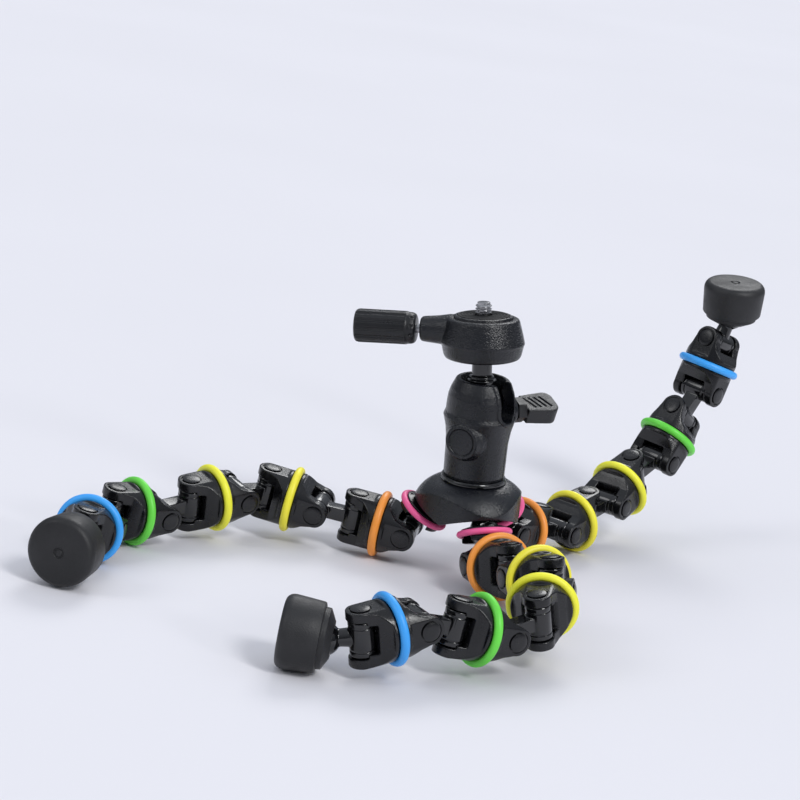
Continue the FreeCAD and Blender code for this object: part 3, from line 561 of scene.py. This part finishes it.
PAD_RUBBER = surface("pad rubber", (0.012, 0.012, 0.013), roughness=0.75, spread=0.06,
                     grain_scale=1500.0, grain_height=0.0001, scuffs=0.006)

RING_COLOURS = {
    0: ("pink", (0.94, 0.12, 0.34)),
    1: ("orange", (0.95, 0.335, 0.05)),
    2: ("yellow", (0.99, 0.88, 0.05)),
    3: ("lemon", (0.98, 0.95, 0.05)),
    4: ("green", (0.145, 0.74, 0.065)),
    5: ("blue", (0.045, 0.39, 0.96)),
}
RING_MATERIALS = {
    number: surface(word + " ring rubber", colour, roughness=0.42, spread=0.05,
                    grain_scale=2600.0, grain_height=0.00002, scuffs=0.0, variation=0.05)
    for number, (word, colour) in RING_COLOURS.items()}


# Leg link: two crossed forks on a waist with a groove for its ring

def fork(name, pin_place, waist_face):
    """Blank of one fork, pin along Y: drawn in from the waist to a round eye."""
    reach = waist_face - pin_place
    stations = [(waist_face, EAR_OUTER, SHOULDER)]
    stations += [(pin_place + share * reach, EAR_OUTER, height) for share, height in EAR_DRAW]
    stations += [(pin_place, EAR_OUTER, EAR_RADIUS)]
    blank = drawn_form(name, stations)
    eye = rod("eye", EAR_RADIUS, 2 * EAR_OUTER, (pin_place, 0, 0), "Y")
    return weld(blank, eye)


def fork_gap(pin_place, towards_waist):
    """Opening between the ears, out past the tip, with a round floor and rounded corners."""
    tip = pin_place - towards_waist * 2 * EAR_RADIUS
    half = EAR_GAP / 2
    opening = block("gap", (abs(pin_place - tip), EAR_GAP, 4 * LINK_RADIUS),
                    ((pin_place + tip) / 2, 0, 0))
    corner = [(half - GAP_CORNER, GAP_FLOOR), (half - 0.45, GAP_FLOOR - 0.7), (half, GAP_FLOOR - 1.6)]
    mirrored = [(-place, radius) for place, radius in reversed(corner)]
    seat = turned_form("gap_seat", mirrored + corner, "Y", 96)
    seat.data.transform(Matrix.Translation((pin_place, 0, 0)))
    swing = block("gap_swing", (GAP_FLOOR * 0.72, EAR_GAP - 3.0, 4 * LINK_RADIUS),
                  (pin_place + towards_waist * GAP_FLOOR * 0.36, 0, 0))
    return weld(opening, seat, swing)


def quarter_turned(piece):
    piece.rotation_euler = (math.radians(90), 0, 0)
    pick(piece)
    bpy.ops.object.transform_apply(location=False, rotation=True, scale=False)
    return piece


def pin_recess(place, axis, side):
    """Shallow ring sunk round a pin head."""
    centre = Vector(place) + Vector(axis) * (side * EAR_OUTER)
    letter = "Y" if axis[1] else "Z"
    return rod("recess", PIN_HEAD_RADIUS + PIN_RECESS_GAP, PIN_RECESS_DEPTH, centre, letter)


def link_body():
    head = fork("link", 0, WAIST_START)
    foot = quarter_turned(fork("foot_fork", LINK_SPACING, WAIST_END))
    middle = LINK_SPACING / 2
    groove_start = middle - GROOVE_HALF
    groove_end = middle + GROOVE_HALF
    waist = turned_form("waist", [
        (WAIST_START, LINK_RADIUS - WAIST_EDGE), (WAIST_START + WAIST_EDGE, LINK_RADIUS),
        (groove_start, LINK_RADIUS), (groove_start, GROOVE_RADIUS),
        (groove_end, GROOVE_RADIUS), (groove_end, LINK_RADIUS),
        (WAIST_END - WAIST_EDGE, LINK_RADIUS), (WAIST_END, LINK_RADIUS - WAIST_EDGE)])
    body = weld(head, foot)
    trim(body, rod("sleeve", LINK_RADIUS, 4 * LINK_SPACING, (middle, 0, 0), "X", 128))
    body = weld(body, waist)
    cut(body, fork_gap(0, 1), quarter_turned(fork_gap(LINK_SPACING, -1)))
    moulded(body, 0.24, 9, 0.18)
    for side in (-1, 1):
        cut(body, pin_recess((0, 0, 0), (0, 1, 0), side),
            pin_recess((LINK_SPACING, 0, 0), (0, 0, 1), side))
    return smooth(body, 38)


def headed_pin(name, axis, place):
    """Pin across a fork with a low domed head at each end."""
    top = EAR_OUTER + PIN_HEAD_HEIGHT
    seat = EAR_OUTER - PIN_HEAD_SEAT
    far_end = [(seat, PIN_RADIUS), (seat, PIN_HEAD_RADIUS), (top - 0.35, PIN_HEAD_RADIUS),
               (top - 0.08, 2.6), (top, 1.6)]
    near_end = [(-place_of_edge, radius) for place_of_edge, radius in reversed(far_end)]
    stations = near_end + far_end
    pin = smooth(turned_form(name, stations, axis, 48), 35)
    pin.location = place
    pick(pin)
    bpy.ops.object.transform_apply(location=True, rotation=False, scale=False)
    return pin


LINK = master(link_body())
LINK_PINS = master(joined("pins", headed_pin("head_pin", "Y", (0, 0, 0)),
                          headed_pin("foot_pin", "Z", (LINK_SPACING, 0, 0))))


def rubber_ring(name, radius, tube, place):
    deselect()
    bpy.ops.mesh.primitive_torus_add(major_radius=radius, minor_radius=tube, major_segments=96,
                                     minor_segments=24, location=(place, 0, 0), rotation=TURN_Z_TO["X"])
    return smooth(named(name), 60)


RING = master(rubber_ring("ring", RING_RADIUS, RING_TUBE, LINK_SPACING / 2))
ROOT_RING = master(rubber_ring("root_ring", ROOT_RING_RADIUS, ROOT_RING_TUBE, ROOT_RING_PLACE))


# Connectors: two crossed barrels on a flat-sided neck

def barrel(name, length, axis, place):
    half = length / 2
    seam = BARREL_SEAM * length / BARREL_LENGTH
    sunk = BARREL_RADIUS - BARREL_SEAM_DEPTH
    stations = [(-half, BARREL_RADIUS - BARREL_EDGE), (-half + BARREL_EDGE, BARREL_RADIUS)]
    for middle in (-seam, seam):
        stations += [(middle - 0.3, BARREL_RADIUS), (middle - 0.2, sunk), (middle + 0.2, sunk),
                     (middle + 0.3, BARREL_RADIUS)]
    stations += [(half - BARREL_EDGE, BARREL_RADIUS), (half, BARREL_RADIUS - BARREL_EDGE)]
    piece = turned_form(name, stations, axis, 64)
    piece.location = (place, 0, 0)
    pick(piece)
    bpy.ops.object.transform_apply(location=True, rotation=False, scale=False)
    return piece


def connector(name, length, near_length):
    body = barrel(name, near_length, "Z", 0)
    neck = block("neck", (length, 2 * NECK_HALF_WIDTH, 2 * NECK_HALF_WIDTH - 0.6), (length / 2, 0, 0))
    weld(body, neck, barrel("far_barrel", BARREL_LENGTH, "Y", length))
    cut(body, rod("bore", BORE_RADIUS, 2 * BARREL_LENGTH, (0, 0, 0), "Z", 32),
        rod("bore", BORE_RADIUS, 2 * BARREL_LENGTH, (length, 0, 0), "Y", 32))
    return moulded(body, 0.18, 2, 0.16)


CONNECTOR = master(connector("connector", CONNECTOR_LENGTH, BARREL_LENGTH))
ROOT_CONNECTOR = master(connector("root_connector", ROOT_CONNECTOR_LENGTH, ROOT_BARREL_LENGTH))


# Leg root: collar with a tongue for the hub's hinge and a slot for the first connector

def root_collar():
    groove_start = ROOT_RING_PLACE - ROOT_RING_TUBE - 0.1
    groove_end = ROOT_RING_PLACE + ROOT_RING_TUBE + 0.1
    body = turned_form("root", [
        (3.2, ROOT_EYE_RADIUS), (8.4, 5.4), (ROOT_COLLAR_START, ROOT_COLLAR_RADIUS - 0.2),
        (groove_start, ROOT_COLLAR_RADIUS), (groove_start, ROOT_GROOVE_RADIUS),
        (groove_end, ROOT_GROOVE_RADIUS), (groove_end, ROOT_COLLAR_RADIUS),
        (ROOT_END - 0.3, ROOT_COLLAR_RADIUS), (ROOT_END, ROOT_COLLAR_RADIUS - 0.3)])
    weld(body, block("web", (3.6, ROOT_TONGUE_WIDTH, 2 * ROOT_EYE_RADIUS), (1.8, 0, 0)),
         rod("eye", ROOT_EYE_RADIUS, ROOT_TONGUE_WIDTH, (0, 0, 0), "Y"))
    gap = ROOT_BARREL_LENGTH + 2 * SIDE_CLEARANCE
    cut(body, block("slot", (2 * ROOT_END, 40.0, gap), (ROOT_PIN_DISTANCE + ROOT_END, 0, 0)),
        rod("seat", BARREL_RADIUS + SIDE_CLEARANCE, gap, (ROOT_PIN_DISTANCE, 0, 0), "Z"),
        rod("hinge", ROOT_HINGE_BORE, 20.0, (0, 0, 0), "Y", 32))
    return moulded(body, 0.24, 2, 0.2)


ROOT = master(root_collar())
ROOT_PIN = master(rod("root_pin", PIN_RADIUS, ROOT_PIN_LENGTH, (ROOT_PIN_DISTANCE, 0, 0), "Z", 48))


# Foot: stem with a ball, and a rubber cap with a lip and a small ring in its sole

def foot_stem():
    neck = turned_form("foot_stem", FOOT_NECK_PROFILE, "X", 64)
    foot_ball = ball("ball", FOOT_BALL_RADIUS, (FOOT_BALL_PLACE, 0, 0), 64)
    body = weld(barrel("stem_barrel", BARREL_LENGTH, "Z", 0), neck, foot_ball)
    cut(body, rod("bore", BORE_RADIUS, 2 * BARREL_LENGTH, (0, 0, 0), "Z", 32))
    return moulded(body, 0.22, 2, 0.25)


FOOT_STEM = master(foot_stem())
FOOT_CAP = master(smooth(turned_form("foot_cap", FOOT_CAP_PROFILE, "X", 128), 28))


# Ball housing: bottle form with a ledge, a slot with a raised frame, a boss and a lock pad

def housing_form(name, proud):
    return turned_form(name, [(place, radius + proud) for place, radius in HOUSING_PROFILE], "Z", 160)


def along_radius(piece, azimuth, height):
    """Carries a piece drawn along X to its azimuth and height on the head."""
    turn = Matrix.Rotation(math.radians(azimuth), 4, "Z")
    piece.data.transform(Matrix.Translation((0, 0, height)) @ turn)
    return piece


def slot_tool(width):
    """Upright block with a half round foot, the shape of the slot, reaching outward."""
    upright = block("slot", (40.0, width, 30.0), (20.0, 0, 15.0))
    foot = rod("slot_foot", width / 2, 40.0, (20.0, 0, 0), "X")
    return along_radius(weld(upright, foot), SLOT_AZIMUTH, SLOT_AXIS_HEIGHT)


def housing_body():
    body = housing_form("housing", 0.0)
    rim = trim(housing_form("slot_rim", SLOT_RIM_HEIGHT), slot_tool(SLOT_WIDTH + SLOT_RIM_WIDTH))
    boss = along_radius(turned_form("boss", BOSS_PROFILE, "X", 96), BOSS_AZIMUTH, BOSS_HEIGHT)
    lock_pad = turned_form("lock_pad", LOCK_PAD_PROFILE, "X", 72)
    weld(body, rim, boss, along_radius(lock_pad, LOCK_AZIMUTH, LOCK_HEIGHT))
    cut(body, slot_tool(SLOT_WIDTH), ball("socket", SOCKET_RADIUS, (0, 0, BALL_HEIGHT), 96),
        turned_form("mouth", MOUTH_PROFILE, "Z", 96),
        along_radius(rod("boss_recess", BOSS_RECESS_RADIUS, 3.0, (15.3, 0, 0), "X"),
                     BOSS_AZIMUTH, BOSS_HEIGHT),
        along_radius(rod("lock_bore", LOCK_BORE_RADIUS, 16.0, (12.0, 0, 0), "X", 32),
                     LOCK_AZIMUTH, LOCK_HEIGHT))
    seam = block("seam", (3.0, SEAM_WIDTH, 25.0), (12.6, 0, 12.2))
    cut(body, along_radius(seam, SEAM_AZIMUTH, 0.0))
    return moulded(body, 0.2, 3, 0.22)


HOUSING = master(housing_body())
BOSS_CAP = master(along_radius(smooth(turned_form("boss_cap", BOSS_CAP_PROFILE, "X", 72), 30),
                               BOSS_AZIMUTH, BOSS_HEIGHT))


def ball_and_stem():
    head_ball = ball("ball_and_stem", BALL_RADIUS, (0, 0, BALL_HEIGHT), 96)
    stem = turned_form("stem", STEM_PROFILE, "Z", 72)
    return moulded(weld(head_ball, stem), 0.2, 2, 0.3)


BALL_AND_STEM = master(ball_and_stem())


# Platform: tapered body with a ridge and a clamp boss, and what it clamps

def platform_body():
    body = turned_form("platform", PLATFORM_PROFILE, "Z", 160)
    boss = turned_form("clamp_boss", CLAMP_BOSS_PROFILE, "X", 72)
    weld(body, along_radius(boss, CLAMP_AZIMUTH, CLAMP_RISE))
    cut(body, rod("recess", PLATE_RECESS_RADIUS, 6.0, (0, 0, 16.0), "Z", 128),
        rod("stem_bore", STEM_BORE_RADIUS, STEM_THREAD_REACH, (0, 0, STEM_THREAD_REACH / 2), "Z", 48),
        along_radius(rod("clamp_bore", CLAMP_BORE_RADIUS, 20.0, (17.6, 0, 0), "X", 32),
                     CLAMP_AZIMUTH, CLAMP_RISE))
    return moulded(body, 0.22, 3, 0.2)


PLATFORM = master(platform_body())
PLATE = master(smooth(turned_form("plate", PLATE_PROFILE, "Z", 128), 30))


def mount_pad():
    """Rubber pad with raised rings round the screw."""
    stations = [(16.5, 9.95), (17.2, 9.95)]
    radius = 9.6
    while radius > 4.4:
        stations += [(PAD_TOP, radius), (PAD_TOP, radius - 0.55), (PAD_GROOVE, radius - 0.7),
                     (PAD_GROOVE, radius - 1.05)]
        radius -= PAD_RING_SPACING
    stations += [(PAD_TOP, 3.9), (PAD_TOP, 3.55), (16.55, 3.45)]
    return smooth(turned_form("pad", stations, "Z", 128), 30)


def mount_screw():
    """Quarter-inch screw with a narrow neck, its thread as turned ridges."""
    stations = [(11.2, 6.0), (13.0, 6.0), (13.0, 2.6), (17.6, 2.55)]
    height = THREAD_START
    while height < THREAD_END:
        stations += [(height, THREAD_CORE), (height + 0.45, THREAD_CREST), (height + 0.6, THREAD_CREST),
                     (height + 1.05, THREAD_CORE)]
        height += THREAD_PITCH
    stations += [(22.0, 2.5), (22.2, 2.2)]
    return smooth(turned_form("screw", stations, "Z", 72), 25)


PAD = master(mount_pad())
SCREW = master(mount_screw())


# Clamp knob: fluted grip on a thin shaft

def clamp_grip():
    grip = turned_form("clamp_grip", CLAMP_GRIP_PROFILE, "X", 144)
    for flute in range(FLUTES):
        angle = 2 * math.pi * flute / FLUTES
        centre = (FLUTE_START + FLUTE_LENGTH / 2,
                  FLUTE_REACH * math.cos(angle), FLUTE_REACH * math.sin(angle))
        cut(grip, rod("flute", FLUTE_RADIUS, FLUTE_LENGTH, centre, "X", 20))
    for notch in range(NOTCHES):
        angle = 2 * math.pi * (notch + 0.5) / NOTCHES
        centre = (NOTCH_PLACE, NOTCH_REACH * math.cos(angle), NOTCH_REACH * math.sin(angle))
        cut(grip, rod("notch", NOTCH_RADIUS, 2.6, centre, "X", 16))
    return along_radius(moulded(grip, 0.2, 2, 0.25), CLAMP_AZIMUTH, CLAMP_RISE)


CLAMP_GRIP = master(clamp_grip())
CLAMP_SHAFT = master(along_radius(smooth(turned_form("clamp_shaft", CLAMP_SHAFT_PROFILE, "X", 40), 30),
                                  CLAMP_AZIMUTH, CLAMP_RISE))


# Lock knob: six-sided collar and a wing with slanted ribs

def wing_blank():
    """Slab of the wing, tapered towards its collar and rounded at its far corners."""
    length = WING_SIZE[0]
    wing = block("wing", WING_SIZE, (WING_COLLAR_END + length / 2, 0, 0))
    bpy.ops.object.mode_set(mode="EDIT")
    bpy.ops.mesh.select_mode(type="FACE")
    bpy.ops.mesh.select_all(action="DESELECT")
    bpy.ops.object.mode_set(mode="OBJECT")
    for face in wing.data.polygons:
        face.select = abs(face.center.x - WING_COLLAR_END) < 0.01
    bpy.ops.object.mode_set(mode="EDIT")
    bpy.ops.transform.resize(value=WING_TAPER, center_override=(WING_COLLAR_END, 0, 0))
    bpy.ops.object.mode_set(mode="OBJECT")
    corners = wing.modifiers.new("corners", "BEVEL")
    corners.width = WING_CORNER
    corners.segments = 8
    corners.limit_method = "WEIGHT"
    weights = wing.data.attributes.new("bevel_weight_edge", "FLOAT", "EDGE")
    for edge in wing.data.edges:
        ends = [wing.data.vertices[index].co for index in edge.vertices]
        outer = all(abs(end.x - WING_COLLAR_END - length) < 0.01 for end in ends)
        upright = abs(ends[0].y - ends[1].y) < 0.01
        weights.data[edge.index].value = 1.0 if outer and upright else 0.0
    finish_modifier(wing, corners)
    return moulded(wing, 0.2, 16, 0.4)


def lock_wing():
    collar = rod("lock_knob", WING_COLLAR_RADIUS, WING_COLLAR_END - WING_SEAT,
                 ((WING_SEAT + WING_COLLAR_END) / 2, 0, 0), "X", 6)
    wing = wing_blank()
    slant = Matrix.Rotation(math.radians(WING_RIB_SLANT), 4, "Z")
    for rib in range(WING_RIBS):
        for side in (-1, 1):
            groove = block("groove", (0.9, 7.0, 0.9))
            place = (WING_COLLAR_END + WING_RIB_SPACING * (rib + 1), 0.0, side * 3.3)
            groove.data.transform(Matrix.Translation(place) @ slant)
            cut(wing, groove)
    body = moulded(weld(wing, collar), 0.18, 2, 0.3)
    bolt = smooth(rod("bolt", 2.2, 8.0, (12.0, 0, 0), "X", 40), 30)
    knob = joined("lock_knob", body, bolt)
    knob.data.transform(Matrix.Rotation(math.radians(LOCK_TURN), 4, "X"))
    return along_radius(knob, LOCK_AZIMUTH, LOCK_HEIGHT)


LOCK_KNOB = master(lock_wing())


# Hub shell: a merged copy of the CAD bell, with its edges rounded

def hub_bell():
    source = frame["nodes"]["hub_shell"]
    bell = source.copy()
    bell.data = source.data.copy()
    bell.parent = None
    bell.name = "hub_bell"
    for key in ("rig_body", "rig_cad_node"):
        del bell[key]
    bpy.context.scene.collection.objects.link(bell)
    bell.data.transform(scaled(HUB).inverted())
    pick(bell)
    bpy.ops.object.mode_set(mode="EDIT")
    bpy.ops.mesh.select_all(action="SELECT")
    bpy.ops.mesh.remove_doubles(threshold=0.001)
    bpy.ops.object.mode_set(mode="OBJECT")
    return moulded(bell, 0.26, 4, 0.25)


HUB_BELL = master(hub_bell())
SEAT_LIP = master(smooth(turned_form("seat_lip", SEAT_LIP_PROFILE, "Z", 128), 30))


# Everything in its place

put(HUB_BELL, "hub_bell", HUB, "hub", "shell_plastic", SHELL, "hub_shell")
put(SEAT_LIP, "seat_lip", HUB, "hub", "gloss_black", GLOSS)
put(HOUSING, "housing_shell", HUB, "hub", "shell_plastic", SHELL, "ball_housing")
put(BOSS_CAP, "boss_cap", HUB, "hub", "shell_plastic", SHELL)
put(BALL_AND_STEM, "ball_and_stem", HEAD, "ball_stem", "gloss_black", GLOSS, "ball_stem")
put(PLATFORM, "platform_body", PLATFORM_FRAME, "platform", "platform_paint", PLATFORM_PAINT, "platform")
put(PLATE, "mount_plate", PLATFORM_FRAME, "platform", "platform_paint", PLATFORM_PAINT)
put(PAD, "mount_pad", PLATFORM_FRAME, "platform", "foot_rubber", PAD_RUBBER)
put(SCREW, "mount_screw", PLATFORM_FRAME, "platform", "platform_paint", STEEL)
put(CLAMP_GRIP, "clamp_grip", PLATFORM_FRAME, "clamp_knob", "knob_plastic", KNOB_PLASTIC, "clamp_knob")
put(CLAMP_SHAFT, "clamp_shaft", PLATFORM_FRAME, "clamp_knob", "platform_paint", STEEL)
put(LOCK_KNOB, "lock_wing", HUB, "lock_knob", "knob_plastic", KNOB_PLASTIC, "lock_knob")

for leg in LEGS:
    place = root_frame(leg)
    put(ROOT, leg + "_collar", place, leg + "_root", "leg_plastic", LEG_PLASTIC, leg + "_root")
    put(ROOT_RING, leg + "_pink_ring", place, leg + "_root", "leg_plastic", RING_MATERIALS[0])
    put(ROOT_PIN, leg + "_root_pin", place, leg + "_root", "leg_plastic", LEG_PLASTIC)
    for number in range(5):
        name = "%s_connector_%d" % (leg, number)
        pattern = ROOT_CONNECTOR if number == 0 else CONNECTOR
        put(pattern, name + "_body", connector_frame(leg, number), name, "gloss_black", GLOSS, name)
    for number in LINKS:
        place = link_frame(leg, number)
        body = "%s_link_%d" % (leg, number)
        ring = "%s_ring_%d" % (leg, number)
        word = RING_COLOURS[number][0]
        put(LINK, body + "_body", place, body, "leg_plastic", LEG_PLASTIC, body)
        put(LINK_PINS, body + "_pins", place, body, "leg_plastic", LEG_PLASTIC)
        put(RING, ring + "_rubber", place, body, "ring_" + word, RING_MATERIALS[number], ring)
    put(FOOT_STEM, leg + "_foot_ball", stem_frame(leg), leg + "_foot_stem", "gloss_black", GLOSS,
        leg + "_foot_stem")
    put(FOOT_CAP, leg + "_foot_rubber", cap_frame(leg), leg + "_foot_cap", "foot_rubber", FOOT_RUBBER,
        leg + "_foot_cap")

for pattern in MASTERS:
    bpy.data.objects.remove(pattern)


# Floor, light and camera

FLOOR_SIZE = 12.0
FLOOR_COLOUR = (0.79, 0.78, 0.82)
SKY_COLOUR = (0.85, 0.865, 0.93, 1)
ZENITH_LIGHT = (0.59, 0.63, 0.70, 1)
HORIZON_LIGHT = (0.10, 0.11, 0.13, 1)


def pale_floor():
    deselect()
    bpy.ops.mesh.primitive_plane_add(size=FLOOR_SIZE, location=(0, 0, 0))
    floor = named("floor")
    material, nodes, links, shader, place = node_tree("pale floor")
    mottled = noise(nodes, links, place, 2.0, 2.0)
    tone = ramp(nodes, links, mottled.outputs["Fac"],
                tinted(FLOOR_COLOUR, 0.99), tinted(FLOOR_COLOUR, 1.01))
    links.new(tone.outputs["Color"], shader.inputs["Base Color"])
    shader.inputs["Roughness"].default_value = 0.9
    shader.inputs["Specular IOR Level"].default_value = 0.1
    floor.data.materials.append(material)


def soft_world():
    world = bpy.data.worlds.new("studio")
    bpy.context.scene.world = world
    world.use_nodes = True
    nodes = world.node_tree.nodes
    links = world.node_tree.links
    light = nodes["Background"]
    direction = nodes.new("ShaderNodeTexCoord")
    split = nodes.new("ShaderNodeSeparateXYZ")
    links.new(direction.outputs["Generated"], split.inputs["Vector"])
    rise = ramp(nodes, links, split.outputs["Z"], HORIZON_LIGHT, ZENITH_LIGHT, 0.0, 0.85)
    links.new(rise.outputs["Color"], light.inputs["Color"])
    light.inputs["Strength"].default_value = 1.0
    seen = nodes.new("ShaderNodeBackground")
    seen.inputs["Color"].default_value = SKY_COLOUR
    seen.inputs["Strength"].default_value = 1.0
    path = nodes.new("ShaderNodeLightPath")
    mix = nodes.new("ShaderNodeMixShader")
    links.new(path.outputs["Is Camera Ray"], mix.inputs["Fac"])
    links.new(light.outputs["Background"], mix.inputs[1])
    links.new(seen.outputs["Background"], mix.inputs[2])
    links.new(mix.outputs["Shader"], nodes["World Output"].inputs["Surface"])


def sun(name, strength, spread, source):
    """Distant lamp whose light comes from the given direction."""
    lamp = bpy.data.lights.new(name, "SUN")
    lamp.energy = strength
    lamp.angle = math.radians(spread)
    holder = bpy.data.objects.new(name, lamp)
    holder.rotation_euler = Vector(source).to_track_quat("Z", "Y").to_euler()
    bpy.context.scene.collection.objects.link(holder)


CAMERA_PLACE = (-0.00663, -1.00093, 0.29937)
CAMERA_TURN = (76.8427, -8.3896, 2.2245)
CAMERA_LENS = 120.834


def viewpoint():
    data = bpy.data.cameras.new("camera")
    data.lens = CAMERA_LENS
    data.sensor_width = 36.0
    data.clip_start = 0.01
    data.clip_end = 50.0
    holder = bpy.data.objects.new("camera", data)
    holder.location = CAMERA_PLACE
    holder.rotation_euler = [math.radians(part) for part in CAMERA_TURN]
    bpy.context.scene.collection.objects.link(holder)
    bpy.context.scene.camera = holder


pale_floor()
soft_world()
sun("key", 1.2, 15, (0.65, -0.8, 1.0))
sun("sheen", 0.36, 9, (0.85, -0.7, 0.46))
sun("fill", 0.38, 24, (-1.0, -0.45, 0.8))
sun("back", 0.79, 24, (0.15, 1.0, 0.9))
viewpoint()
bpy.context.scene.view_settings.view_transform = "Standard"
